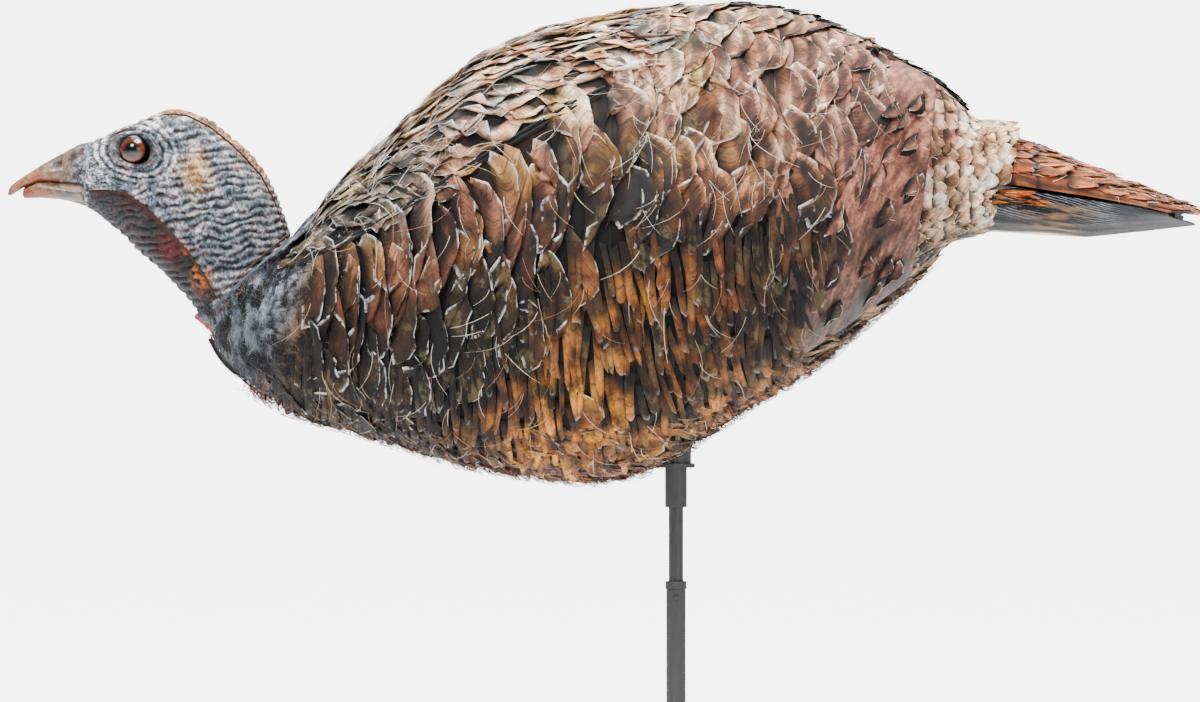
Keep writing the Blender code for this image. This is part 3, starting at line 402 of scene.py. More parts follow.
# ---------------------------------------------------------------------------------------------
# Skins read from the frame
# ---------------------------------------------------------------------------------------------
def tree_of(nodes: list[str]) -> BVHTree:
    """A search tree of faces.

    Args:
        nodes: CAD nodes that they are read from.

    Returns:
        The tree.
    """
    points, faces = [], []
    for name in nodes:
        mesh = frame["nodes"][name].data
        start = len(points)
        points += [vertex.co.copy() for vertex in mesh.vertices]
        faces += [[start + index for index in face.vertices] for face in mesh.polygons]
    return BVHTree.FromPolygons(points, faces)


def blurred(values: np.ndarray, times: int) -> np.ndarray:
    """Values of closed rings, smoothed along and round.

    Args:
        values: (rows, columns) values.
        times: How often they are smoothed.

    Returns:
        The smoothed values.
    """
    for _ in range(times):
        ends = np.concatenate([values[:1], values, values[-1:]], axis=0)
        values = (ends[:-2] + 2 * values + ends[2:]) / 4
        values = (np.roll(values, 1, axis=1) + 2 * values + np.roll(values, -1, axis=1)) / 4
    return values


class Skin:
    """A smooth surface over a table of points, found by a share of its length and an angle round it."""

    def __init__(self, points: np.ndarray, inside: np.ndarray, low: float, high: float, wrap: bool) -> None:
        """Work out slopes and normals.

        Args:
            points: (rows, columns, 3) places.
            inside: (rows, 3) a place inside for each row.
            low: Angle of the first column.
            high: Angle of the last column, or of the first again where the rows are rings.
            wrap: Whether each row is a ring.
        """
        self.rows, self.columns = points.shape[:2]
        self.low, self.high, self.wrap = low, high, wrap
        self.cells = self.columns if wrap else self.columns - 1
        pace = self.cells / (high - low)
        along = np.gradient(points, axis=0) * (self.rows - 1)
        if wrap:
            around = (np.roll(points, -1, 1) - np.roll(points, 1, 1)) * pace / 2
        else:
            around = np.gradient(points, axis=1) * pace
        normal = unit(np.cross(along, around))
        out = np.sign(np.sum(normal * (points - inside[:, None]), axis=-1, keepdims=True))
        self.table = np.concatenate([points, normal * out, along, around], axis=-1)

    def at(self, share: np.ndarray, angle: np.ndarray) -> tuple[np.ndarray, ...]:
        """The surface at shares of its length and angles.

        Args:
            share: Shares of its length.
            angle: Angles round it.

        Returns:
            Points, outward normals, and the slopes along and around, one row for each place.
        """
        row = np.clip(share, -0.05, 1.05) * (self.rows - 1)
        column = (np.asarray(angle) - self.low) / (self.high - self.low) * self.cells
        i = np.clip(np.floor(row).astype(int), 0, self.rows - 2)
        if self.wrap:
            j = np.floor(column).astype(int)
            b = (column - j)[..., None]
            j, k = j % self.cells, (j + 1) % self.cells
        else:
            j = np.clip(np.floor(column).astype(int), 0, self.columns - 2)
            b, k = np.clip(column - j, -1.0, 2.0)[..., None], j + 1
        a = (row - i)[..., None]
        near = self.table[i, j] * (1 - b) + self.table[i, k] * b
        far = self.table[i + 1, j] * (1 - b) + self.table[i + 1, k] * b
        found = near * (1 - a) + far * a
        return found[..., :3], unit(found[..., 3:6]), found[..., 6:9], found[..., 9:12]


def mended(radii: np.ndarray) -> np.ndarray:
    """Radii with the holes filled from their neighbours."""
    while np.isnan(radii).any():
        ends = np.concatenate([radii[:1], radii, radii[-1:]], axis=0)
        near = np.stack([ends[:-2], ends[2:], np.roll(radii, 1, 1), np.roll(radii, -1, 1)])
        known = ~np.isnan(near)
        total = np.where(known, near, 0.0).sum(0)
        fill = np.where(known.any(0), total / np.maximum(known.sum(0), 1), np.nan)
        radii = np.where(np.isnan(radii), fill, radii)
    return radii


FAR_MISS = 2.2  # a radius this many times its section's middle one went through a gap


def measured_skin(
    nodes: list[str],
    centre: Callable[[np.ndarray], np.ndarray],
    upward: Callable[[np.ndarray], np.ndarray],
    rows: int,
    columns: int,
    thickness: float,
    blur: int,
) -> Skin:
    """A smooth skin round a centre line, measured out to the frame's own panels.

    Args:
        nodes: CAD nodes that the skin is read from.
        centre: Centre line, from shares of its length to points.
        upward: Direction of angle 0 in each section, from the same shares.
        rows: Sections.
        columns: Angles in a section.
        thickness: From the face that is met first to the outer one.
        blur: How often the measured radii are smoothed.

    Returns:
        The skin.
    """
    share = np.linspace(0.0, 1.0, rows)
    middle, high = centre(share), unit(upward(share))
    angle = turns(columns)
    rays = high[:, None] * np.cos(angle)[None, :, None] + ACROSS * np.sin(angle)[None, :, None]
    tree = tree_of(nodes)
    radii = np.full((rows, columns), np.nan)
    for i in range(rows):
        origin = Vector(middle[i])
        for j in range(columns):
            distance = tree.ray_cast(origin, Vector(rays[i, j]))[3]
            if distance is not None:
                radii[i, j] = distance + thickness
    typical = np.nanmedian(radii, axis=1, keepdims=True)
    radii = mended(np.where(radii > FAR_MISS * typical, np.nan, radii))
    points = middle[:, None] + rays * blurred(radii, blur)[..., None]
    return Skin(points, middle, 0.0, TURN, True)


# ---------------------------------------------------------------------------------------------
# Dyes and finishes
# ---------------------------------------------------------------------------------------------
class Dye(Enum):
    """Inks of the printed cloth, as linear red, green and blue."""

    INK = (0.006, 0.006, 0.007)
    TEAL = (0.030, 0.048, 0.050)
    UMBER = (0.055, 0.026, 0.015)
    BRONZE = (0.180, 0.085, 0.060)
    MAUVE = (0.270, 0.140, 0.115)
    ROSE = (0.480, 0.270, 0.210)
    PEACH = (0.760, 0.460, 0.350)
    ORANGE = (0.520, 0.200, 0.085)
    RUST = (0.420, 0.130, 0.070)
    TAN = (0.440, 0.280, 0.170)
    OLIVE = (0.220, 0.170, 0.060)
    SAND = (0.640, 0.470, 0.340)
    CREAM = (0.860, 0.780, 0.660)
    CHALK = (0.900, 0.890, 0.870)
    FROST = (0.520, 0.560, 0.600)
    STEEL = (0.190, 0.210, 0.240)
    BLOOD = (0.420, 0.040, 0.045)


def dye(name: Dye) -> np.ndarray:
    """A dye as an array."""
    return np.array(name.value, float)


class Nodes:
    """Short ways to place and link shader nodes in one tree."""

    def __init__(self, tree: bpy.types.NodeTree) -> None:
        """Work in a tree."""
        self.tree = tree

    def make(self, kind: str, values: dict | None = None, **settings: object) -> bpy.types.Node:
        """Add a node.

        Args:
            kind: Blender's node type.
            values: Input name or number to a value or to another node's output.
            **settings: Properties of the node.

        Returns:
            The node.
        """
        node = self.tree.nodes.new(kind)
        for name, value in settings.items():
            setattr(node, name, value)
        for name, value in (values or {}).items():
            if isinstance(value, bpy.types.NodeSocket):
                self.tree.links.new(value, node.inputs[name])
            else:
                node.inputs[name].default_value = value
        return node

    def feed(self, node: bpy.types.Node, name: str, value: bpy.types.NodeSocket) -> None:
        """Link an output to an input of a node."""
        self.tree.links.new(value, node.inputs[name])

    def painted(self, name: str) -> bpy.types.NodeSocket:
        """The colour of a painted attribute."""
        return self.make("ShaderNodeAttribute", attribute_name=name).outputs["Color"]

    def parts(self, name: str) -> tuple[bpy.types.NodeSocket, ...]:
        """The three numbers of a painted attribute."""
        held = self.make("ShaderNodeAttribute", attribute_name=name).outputs["Vector"]
        return tuple(self.make("ShaderNodeSeparateXYZ", {0: held}).outputs)

    def scaled(self, value: object, by: object, plus: object = None) -> object:
        """A value times a number, with a number added if one is given."""
        product = self.math("MULTIPLY", value, by)
        return product if plus is None else self.math("ADD", product, plus)

    def shaded(self, colour: object, value: object) -> object:
        """A colour times a value."""
        grey = self.make("ShaderNodeCombineColor", {0: value, 1: value, 2: value}).outputs[0]
        return self.mix(1.0, colour, grey, "MULTIPLY")

    def math(self, how: str, first: object, second: object = 0.0, clamp: bool = False) -> object:
        """A Math node's output."""
        node = self.make("ShaderNodeMath", {0: first, 1: second}, operation=how, use_clamp=clamp)
        return node.outputs[0]

    def step(self, value: object, low: float, high: float) -> object:
        """A smooth step of a value."""
        node = self.make(
            "ShaderNodeMapRange",
            {"Value": value, "From Min": low, "From Max": high},
            interpolation_type="SMOOTHSTEP",
        )
        return node.outputs["Result"]

    def mix(self, factor: object, first: object, second: object, how: str = "MIX") -> object:
        """Two colours, mixed.

        Args:
            factor: Share of the second one.
            first: The first colour.
            second: The second colour.
            how: Blender's way of mixing.

        Returns:
            The mixed colour.
        """
        node = self.make("ShaderNodeMix", data_type="RGBA", blend_type=how)
        for index, value in ((0, factor), (6, first), (7, second)):
            if isinstance(value, bpy.types.NodeSocket):
                self.tree.links.new(value, node.inputs[index])
            else:
                node.inputs[index].default_value = value
        return node.outputs[2]

    def noise(self, vector: object, scale: float, detail: float = 4.0, rough: float = 0.55) -> object:
        """A noise texture's value."""
        values = {"Vector": vector, "Scale": scale, "Detail": detail, "Roughness": rough}
        return self.make("ShaderNodeTexNoise", values).outputs["Fac"]


def rgba(colour: Dye | tuple[float, float, float], shade: float = 1.0) -> tuple[float, ...]:
    """A colour with alpha one, darker or lighter by a shade."""
    values = colour.value if isinstance(colour, Dye) else colour
    return (*(shade * value for value in values), 1.0)


def new_group(name: str, inputs: dict[str, float], outputs: dict[str, str]) -> tuple:
    """Start a shader node group.

    Args:
        name: The group's name.
        inputs: Number inputs and their defaults.
        outputs: Output names to their socket types.

    Returns:
        The tree, its helper, its input node and its output node.
    """
    tree = bpy.data.node_groups.new(name, "ShaderNodeTree")
    for label, start in inputs.items():
        socket = tree.interface.new_socket(label, in_out="INPUT", socket_type="NodeSocketFloat")
        socket.default_value = start
    for label, kind in outputs.items():
        tree.interface.new_socket(label, in_out="OUTPUT", socket_type=kind)
    nodes = Nodes(tree)
    return tree, nodes, nodes.make("NodeGroupInput"), nodes.make("NodeGroupOutput")


def weave_group() -> bpy.types.NodeTree:
    """Fine plain weave with a little nap: a height, and a value that varies from thread to thread.

    Returns:
        The group.
    """
    tree, nodes, source, sink = new_group(
        "plain_weave",
        {"Threads": 1500.0, "Nap": 0.5},
        {"Height": "NodeSocketFloat", "Tone": "NodeSocketFloat"},
    )
    place = nodes.make("ShaderNodeTexCoord").outputs["Object"]
    heights = []
    for direction in ("DIAGONAL", "Z"):
        wave = nodes.make(
            "ShaderNodeTexWave",
            {"Vector": place, "Scale": 520.0, "Distortion": 1.2, "Detail": 1.0},
            wave_type="BANDS",
            bands_direction=direction,
        )
        heights.append(wave.outputs["Fac"])
    crossed = nodes.math("MULTIPLY", heights[0], heights[1])
    nap = nodes.make("ShaderNodeTexNoise", {"Vector": place, "Detail": 3.0})
    nodes.feed(nap, "Scale", source.outputs["Threads"])
    nodes.feed(sink, "Height", nodes.scaled(nap.outputs["Fac"], source.outputs["Nap"], crossed))
    nodes.feed(sink, "Tone", nodes.step(nap.outputs["Fac"], 0.3, 0.7))
    return tree


def print_group() -> bpy.types.NodeTree:
    """Blotches of ink in a print: a value from 0 to 1 with soft and fine parts.

    Returns:
        The group.
    """
    tree, nodes, source, sink = new_group(
        "ink_blotch", {"Scale": 120.0, "Contrast": 1.0}, {"Blotch": "NodeSocketFloat"}
    )
    place = nodes.make("ShaderNodeTexCoord").outputs["Object"]
    noise = nodes.make("ShaderNodeTexNoise", {"Vector": place, "Detail": 6.0, "Roughness": 0.65})
    nodes.feed(noise, "Scale", source.outputs["Scale"])
    centred = nodes.math("SUBTRACT", noise.outputs["Fac"], 0.5)
    spread = nodes.scaled(nodes.math("MULTIPLY", centred, source.outputs["Contrast"]), 3.0)
    nodes.feed(sink, "Blotch", nodes.math("ADD", spread, 0.5, clamp=True))
    return tree


def scuff_group() -> bpy.types.NodeTree:
    """Scuffs from handling: a mask of fine scratches and rubbed patches.

    Returns:
        The group.
    """
    tree, nodes, source, sink = new_group(
        "handling_scuffs", {"Amount": 0.5}, {"Mask": "NodeSocketFloat", "Height": "NodeSocketFloat"}
    )
    place = nodes.make("ShaderNodeTexCoord").outputs["Object"]
    stretched = nodes.make("ShaderNodeMapping", {"Vector": place, "Scale": (900.0, 900.0, 60.0)})
    scratch = nodes.noise(stretched.outputs[0], scale=1.0, detail=3.0, rough=0.7)
    patch = nodes.noise(place, scale=90.0, detail=5.0, rough=0.6)
    both = nodes.math("MULTIPLY", nodes.step(scratch, 0.56, 0.72), nodes.step(patch, 0.42, 0.66))
    nodes.feed(sink, "Mask", nodes.math("MULTIPLY", both, source.outputs["Amount"]))
    nodes.feed(sink, "Height", nodes.noise(place, scale=1400.0, detail=2.0))
    return tree


class Groups:
    """The shared node groups, each built once."""

    _made: dict[str, bpy.types.NodeTree] = {}
    _makers = {"weave": weave_group, "print": print_group, "scuff": scuff_group}

    @classmethod
    def place(cls, nodes: Nodes, which: str, **values: float) -> bpy.types.Node:
        """Put a shared group into a material.

        Args:
            nodes: Helper of the material's tree.
            which: weave, print or scuff.
            **values: The group's inputs.

        Returns:
            The group's node.
        """
        if which not in cls._made:
            cls._made[which] = cls._makers[which]()
        node = nodes.make("ShaderNodeGroup", node_tree=cls._made[which])
        for name, value in values.items():
            node.inputs[name].default_value = value
        return node


def start_material(name: str, roughness: float, sheen: float = 0.0, coat: float = 0.0) -> tuple:
    """A new material with its Principled shader.

    Args:
        name: What it is called.
        roughness: Its roughness where nothing is linked.
        sheen: Sheen of cloth.
        coat: Clear coat.

    Returns:
        The material, the helper of its tree and its shader node.
    """
    made = bpy.data.materials.new(name)
    made.use_nodes = True
    shader = made.node_tree.nodes["Principled BSDF"]
    shader.inputs["Roughness"].default_value = roughness
    shader.inputs["Sheen Weight"].default_value = sheen
    shader.inputs["Sheen Roughness"].default_value = 0.4
    shader.inputs["Specular IOR Level"].default_value = 0.5 if sheen == 0.0 else 0.22
    shader.inputs["Coat Weight"].default_value = coat
    return made, Nodes(made.node_tree), shader


def bump(nodes: Nodes, shader: bpy.types.Node, height: object, distance: float, strength: float) -> None:
    """Feed a height to the shader's normal."""
    node = nodes.make("ShaderNodeBump", {"Height": height, "Distance": distance, "Strength": strength})
    nodes.feed(shader, "Normal", node.outputs["Normal"])


@dataclass(frozen=True)
class CutClothFinish:
    """Printed cloth that is cut into flaps. Each flap carries its tint, its own place, its bar and fray, and a
    shade value; the colour darkens towards each flap's root as painted shade.
    """

    name: str
    roughness: float = 0.8
    blotch: float = 150.0
    barbs: float = 0.9
    streaks_across: float = 13.0
    streaks_along: float = 1.6
    ticks_across: float = 2.6
    ticks_along: float = 0.0

    @staticmethod
    def bars(nodes: Nodes, along: object, barbs: object, bar: object) -> object:
        """One dark bar across a flap, near its tip, with ragged edges.

        Args:
            nodes: Helper of the material's tree.
            along: 0 at a flap's root to 1 at its tip.
            barbs: Fine streaks that make it ragged.
            bar: How strong it is.

        Returns:
            The bar's mask.
        """
        ragged = nodes.math("ADD", along, nodes.scaled(nodes.math("SUBTRACT", barbs, 0.5), 0.45))
        past = nodes.math("SUBTRACT", 1.0, nodes.step(ragged, 0.80, 0.90))
        return nodes.math("MULTIPLY", nodes.math("MULTIPLY", nodes.step(ragged, 0.46, 0.56), past), bar)

    @staticmethod
    def ticks(nodes: Nodes, value: object, lot: object, count: float) -> object:
        """Thin dark lines of the print, a few to a flap.

        Args:
            nodes: Helper of the material's tree.
            value: The place that the lines are counted along.
            lot: Random number of the flap.
            count: Lines in one unit of the value.

        Returns:
            The lines' mask.
        """
        shifted = nodes.scaled(value, count, nodes.scaled(lot, 7.0))
        folded = nodes.math("ABSOLUTE", nodes.math("SUBTRACT", nodes.math("FRACT", shifted), 0.5))
        return nodes.math("SUBTRACT", 1.0, nodes.step(folded, 0.02, 0.07))

    def material(self) -> bpy.types.Material:
        """Build the material.

        Returns:
            The material.
        """
        made, nodes, shader = start_material(self.name, roughness=self.roughness, sheen=0.02)
        across, along, lot = nodes.parts("place")
        bar, fray, shade = nodes.parts("wear")
        blotch = Groups.place(nodes, "print", Scale=self.blotch, Contrast=1.3).outputs["Blotch"]
        broad = Groups.place(nodes, "print", Scale=self.blotch * 0.3, Contrast=1.2).outputs["Blotch"]
        strand = nodes.make(
            "ShaderNodeCombineXYZ",
            {
                0: nodes.scaled(across, self.streaks_across),
                1: nodes.scaled(along, self.streaks_along),
                2: nodes.scaled(lot, 91.0),
            },
        ).outputs[0]
        barbs = nodes.noise(strand, scale=1.6, detail=5.0, rough=0.75)
        streak = nodes.scaled(nodes.step(barbs, 0.28, 0.72), self.barbs)
        tone = nodes.scaled(blotch, 0.5, streak)
        colour = nodes.shaded(nodes.painted("tint"), nodes.math("ADD", tone, 0.18))
        olive = nodes.scaled(nodes.step(broad, 0.62, 0.9), 0.38)
        colour = nodes.mix(olive, colour, rgba(Dye.OLIVE, 0.55))
        for value, count in ((across, self.ticks_across), (along, self.ticks_along)):
            if count:
                line = nodes.scaled(self.ticks(nodes, value, lot, count), 0.55)
                colour = nodes.mix(line, colour, rgba(Dye.INK))
        colour = nodes.mix(self.bars(nodes, along, barbs, bar), colour, rgba(Dye.INK))
        side = nodes.step(nodes.math("ABSOLUTE", across), 0.93, 1.0)
        edge = nodes.math("MULTIPLY", nodes.math("MAXIMUM", side, nodes.step(along, 0.92, 0.99)), fray)
        broken = nodes.math("MULTIPLY", nodes.step(blotch, 0.22, 0.62), nodes.step(broad, 0.22, 0.50))
        pale = nodes.mix(lot, rgba(Dye.CREAM, 0.8), rgba(Dye.FROST, 0.9))
        colour = nodes.mix(nodes.math("MULTIPLY", edge, broken), colour, pale)
        # Painted shade: each flap is darker towards its root, where the flaps above would shade it, and is
        # multiplied by its shade value.
        deep = nodes.scaled(nodes.step(along, 0.0, 0.62), 0.93, 0.07)
        nodes.feed(shader, "Base Color", nodes.shaded(colour, nodes.math("MULTIPLY", deep, shade)))
        weave = Groups.place(nodes, "weave", Nap=0.6)
        nodes.feed(shader, "Roughness", nodes.scaled(weave.outputs["Tone"], 0.15, self.roughness - 0.12))
        bump(nodes, shader, nodes.scaled(barbs, 3.0, weave.outputs["Height"]), distance=0.0005, strength=0.7)
        return made


@dataclass(frozen=True)
class PaintedFinish:
    """Cloth or horn whose colours are painted on its points, with a fine print and weave over them."""

    name: str
    roughness: float = 0.75
    blotch: float = 260.0
    contrast: float = 0.7
    sheen: float = 0.15
    coat: float = 0.0
    relief: float = 0.0003
    weave: bool = True

    def material(self) -> bpy.types.Material:
        """Build the material.

        Returns:
            The material.
        """
        made, nodes, shader = start_material(
            self.name, roughness=self.roughness, sheen=self.sheen, coat=self.coat
        )
        blotch = Groups.place(nodes, "print", Scale=self.blotch, Contrast=self.contrast).outputs["Blotch"]
        fine = Groups.place(nodes, "print", Scale=self.blotch * 3.7, Contrast=self.contrast).outputs["Blotch"]
        tone = nodes.scaled(blotch, 0.7, nodes.scaled(fine, 0.5))
        nodes.feed(shader, "Base Color", nodes.shaded(nodes.painted("tint"), nodes.math("ADD", tone, 0.4)))
        nodes.feed(shader, "Roughness", nodes.scaled(fine, 0.14, self.roughness - 0.07))
        height = fine
        if self.weave:
            height = nodes.math("ADD", Groups.place(nodes, "weave", Nap=0.8).outputs["Height"], fine)
        bump(nodes, shader, height, distance=self.relief, strength=0.7)
        return made


@dataclass(frozen=True)
class HardFinish:
    """Metal, plastic or rubber with rubbed patches, scratches and a fine surface."""

    name: str
    colour: tuple[float, float, float]
    worn: tuple[float, float, float]
    roughness: float
    metallic: float = 0.0
    scuffs: float = 0.6
    grain: float = 0.00008

    def material(self) -> bpy.types.Material:
        """Build the material.

        Returns:
            The material.
        """
        made, nodes, shader = start_material(self.name, roughness=self.roughness)
        scuff = Groups.place(nodes, "scuff", Amount=self.scuffs)
        blotch = Groups.place(nodes, "print", Scale=70.0, Contrast=0.6).outputs["Blotch"]
        toned = nodes.mix(blotch, rgba(self.colour, 0.82), rgba(self.colour, 1.15))
        nodes.feed(shader, "Base Color", nodes.mix(scuff.outputs["Mask"], toned, rgba(self.worn)))
        shader.inputs["Metallic"].default_value = self.metallic
        rough = nodes.scaled(scuff.outputs["Mask"], 0.25, self.roughness - 0.04)
        nodes.feed(shader, "Roughness", nodes.scaled(blotch, 0.1, rough))
        bump(nodes, shader, scuff.outputs["Height"], distance=self.grain, strength=0.5)
        return made


# ---------------------------------------------------------------------------------------------
# Die-cut flaps, strips and threads
# ---------------------------------------------------------------------------------------------
class Edge(Enum):
    """How the free edge of a flap is cut: the power and the depth of its rounding."""

    LENS = (2.6, 0.80)
    BAND = (5.0, 0.60)
    SCALLOP = (2.4, 0.55)
    STRIP = (8.0, 0.05)
    POINT = (1.2, 0.75)


@dataclass(frozen=True)
class Flap:
    """One kind of cut flap, in metres."""

    length: float
    width: float
    lift: float
    edge: Edge = Edge.LENS
    thickness: float = 0.0006
    rise: float = 1.3
    ragged: float = 0.12
    twist: float = 0.0
    wave: float = 0.10
    spread: float = 0.2
    curl: float = 0.0
    bow: float = 0.0
    rows: int = 5
    columns: int = 7
    bar: float = 0.0
    fray: float = 0.6
    shade: float = 1.0
    base: float = 0.0004
    threads: float = 0.0
    thread_length: float = 0.009
    hang: float = 0.0


@dataclass
class Layout:
    """Where flaps are rooted on a skin, and which way each one points."""

    share: np.ndarray
    angle: np.ndarray
    heading: np.ndarray

    def kept(self, keep: np.ndarray) -> "Layout":
        """Only the ones that are kept."""
        return Layout(self.share[keep], self.angle[keep], self.heading[keep])

    def part(self, start: int, end: int) -> "Layout":
        """A run of them."""
        return Layout(self.share[start:end], self.angle[start:end], self.heading[start:end])


@dataclass
class Bed:
    """A skin with the random draws and the print that its flaps are cut from."""

    skin: Skin
    colours: Painter
    draw: np.random.Generator

    def frame_at(self, lay: Layout) -> tuple[np.ndarray, ...]:
        """How each flap stands on the skin.

        Args:
            lay: The flaps' roots and headings.

        Returns:
            Root place, normal, heading, side, and the skin's slopes along and around.
        """
        point, normal, along, around = self.skin.at(lay.share, lay.angle)
        ahead = unit(along)
        side = np.where(lay.angle >= 0, 1.0, -1.0)[:, None]
        down = unit(around - np.sum(around * ahead, -1, keepdims=True) * ahead) * side
        heading = ahead * np.cos(lay.heading)[:, None] + down * np.sin(lay.heading)[:, None]
        return point, normal, heading, np.cross(normal, heading), along, around

    def walk(self, lay: Layout, frame_: tuple, onward: np.ndarray, sideways: np.ndarray) -> tuple:
        """Walk over the skin from each root.

        Args:
            lay: The roots.
            frame_: What frame_at gave for them.
            onward: (n, ...) metres along the heading.
            sideways: (n, ...) metres across it.

        Returns:
            Shares, angles, points and normals of the places reached.
        """
        _, _, heading, side, along, around = frame_
        extra = (slice(None),) + (None,) * (onward.ndim - 1)
        step = heading[extra] * onward[..., None] + side[extra] * sideways[..., None]
        aa = np.sum(along * along, -1)[extra]
        ab = np.sum(along * around, -1)[extra]
        bb = np.sum(around * around, -1)[extra]
        by_a = np.sum(step * along[extra], -1)
        by_b = np.sum(step * around[extra], -1)
        size = aa * bb - ab * ab
        share = lay.share[extra] + (bb * by_a - ab * by_b) / size
        angle = lay.angle[extra] + (aa * by_b - ab * by_a) / size
        point, normal, _, _ = self.skin.at(share, angle)
        return share, angle, point, normal

    def flaps(self, cloth: Cloth, lay: Layout, kind: Flap) -> None:
        """Cut flaps and add them to the cloth.

        Args:
            cloth: What they are added to.
            lay: Their roots and headings.
            kind: Their shape.
        """
        count, draw = len(lay.share), self.draw
        if not count:
            return
        near = self.frame_at(lay)
        s = np.linspace(0.0, 1.0, kind.rows)[None, :, None]
        t = np.linspace(-1.0, 1.0, kind.columns)[None, None, :]
        length = kind.length * (1 + kind.spread * draw.normal(size=(count, 1, 1)).clip(-2, 2))
        width = kind.width * (1 + kind.spread * draw.normal(size=(count, 1, 1)).clip(-2, 2))
        power, depth = kind.edge.value
        rounding = 1.0 - depth * np.abs(t) ** power
        torn = 1.0 - kind.ragged * draw.random((count, 1, kind.columns)) * s**3
        phase = draw.random((count, 1, 1)) * TURN
        wave = kind.wave * kind.length * np.sin(phase + t * 2.6 + s * 1.1)
        onward = s * length * rounding * torn + wave + kind.bow * (1.0 - t * t)
        taper = 1.0 - {Edge.POINT: 0.85, Edge.STRIP: 0.02}.get(kind.edge, 0.22) * s**2
        sway = kind.width * 0.25 * np.sin(phase * 3 + s * 2.4) * s
        sideways = t * width / 2 * taper + sway
        share, angle, point, normal = self.walk(lay, near, onward, sideways)
        lean = draw.normal(size=(count, 1, 1)) * 0.35
        height = kind.lift * s**kind.rise * (1.0 + lean * t + 0.25 * draw.normal(size=(count, 1, 1)))
        height = height * (1.0 - 0.55 * t * t) + kind.curl * s * (1 - s) * 4 - kind.curl * s**4
        turning = kind.twist * draw.normal(size=(count, 1, 1)) * s
        height = np.maximum(height + np.abs(np.sin(turning)) * t * width * 0.45, 0.0) + kind.base
        slim = kind.thickness * (1.0 - 0.5 * s) * np.ones_like(height)
        upper = point + normal * (height + slim)[..., None]
        lower = point + normal * height[..., None]
        size = kind.rows * kind.columns
        stacked = np.stack([upper, lower], axis=1).reshape(-1, 3)
        quads = repeated(sheet_quads(kind.rows, kind.columns), count, 2 * size)
        tint = self.colours(share, angle, point, draw.random((count, 1, 1)))
        ones = np.ones_like(height)
        place = np.stack([t * ones, s * ones, draw.random((count, 1, 1)) * ones], axis=-1)
        # Shade value of each flap: random brightness round the field's shade, and painted shadow where the field's
        # shade is near zero.
        shade = kind.shade * (1 + 0.16 * draw.normal(size=(count, 1, 1))).clip(0.55, 1.5)
        wear = np.stack([kind.bar * ones, kind.fray * ones, shade * ones], axis=-1)
        both = [np.stack([v, v], axis=1).reshape(-1, 3) for v in (tint, place, wear)]
        cloth.add(stacked, quads, tint=both[0], place=both[1], wear=both[2])

    def threads(
        self,
        cloth: Cloth,
        lay: Layout,
        length: float,
        lift: float,
        radius: float,
        tints: list[np.ndarray],
        sprawl: float = 0.5,
        start: float = 0.0,
        steps: int = 4,
    ) -> None:
        """Loose threads over the skin.

        Args:
            cloth: What they are added to.
            lay: Their roots and headings.
            length: Usual length.
            lift: Height of their ends above the skin.
            radius: Half their thickness.
            tints: Colours to draw from.
            sprawl: How far they turn from their heading, in radians.
            start: Height of their roots above the skin.
            steps: Points along each.
        """
        count, draw = len(lay.share), self.draw
        if not count:
            return
        turned = Layout(lay.share, lay.angle, lay.heading + draw.normal(size=count) * sprawl)
        near = self.frame_at(turned)
        s = np.linspace(0.0, 1.0, steps)[None]
        long = length * draw.uniform(0.45, 1.5, (count, 1))
        bend = draw.normal(size=(count, 1)) * 0.5
        _, _, point, normal = self.walk(turned, near, s * long, s * s * bend * long)
        height = start + lift * draw.uniform(0.2, 1.3, (count, 1)) * np.sin(s * 1.9)
        tint = np.array(tints)[draw.integers(0, len(tints), count)] * draw.uniform(0.7, 1.15, (count, 1))
        thick = radius * draw.uniform(0.7, 1.3, count)
        add_fibres(cloth, point + normal * height[..., None], thick, tint)


def along_rows(
    draw: np.random.Generator,
    shares: tuple[float, float],
    angles: tuple[float, float],
    row_step: float,
    item_step: float,
    heading: float,
    slope: float = 0.0,
    jitter: float = 0.2,
) -> Layout:
    """Rows that run from front to rear, spaced by angle.

    Args:
        draw: Random draws.
        shares: Front and rear limits.
        angles: Limits from the top, in radians; taken on both sides.
        row_step: Radians from row to row.
        item_step: Share of the length from flap to flap.
        heading: Which way they point: 0 to the rear, a quarter turn downward.
        slope: Radians that a row drops per share of the length.
        jitter: Random part of each step.

    Returns:
        The layout.
    """
    rows = np.arange(angles[0] - 0.6, angles[1] + 0.6, row_step)
    items = np.arange(shares[0], shares[1], item_step)
    spots = []
    for side in (-1.0, 1.0):
        for index, row in enumerate(rows):
            share = items + (index % 2) * item_step / 2 + item_step * jitter * draw.normal(size=len(items))
            angle = row + slope * (share - shares[0]) + row_step * jitter * 0.7 * draw.normal(size=len(items))
            angle = angle + 0.25 * row_step * np.sin(share * 40.0 + index * 1.7)
            inside = (angle > angles[0]) & (angle < angles[1]) & (share < shares[1])
            spots.append(np.stack([share[inside], side * angle[inside]], axis=1))
    found = np.concatenate(spots)
    turn = heading + 0.12 * draw.normal(size=len(found))
    return Layout(found[:, 0], found[:, 1], turn)


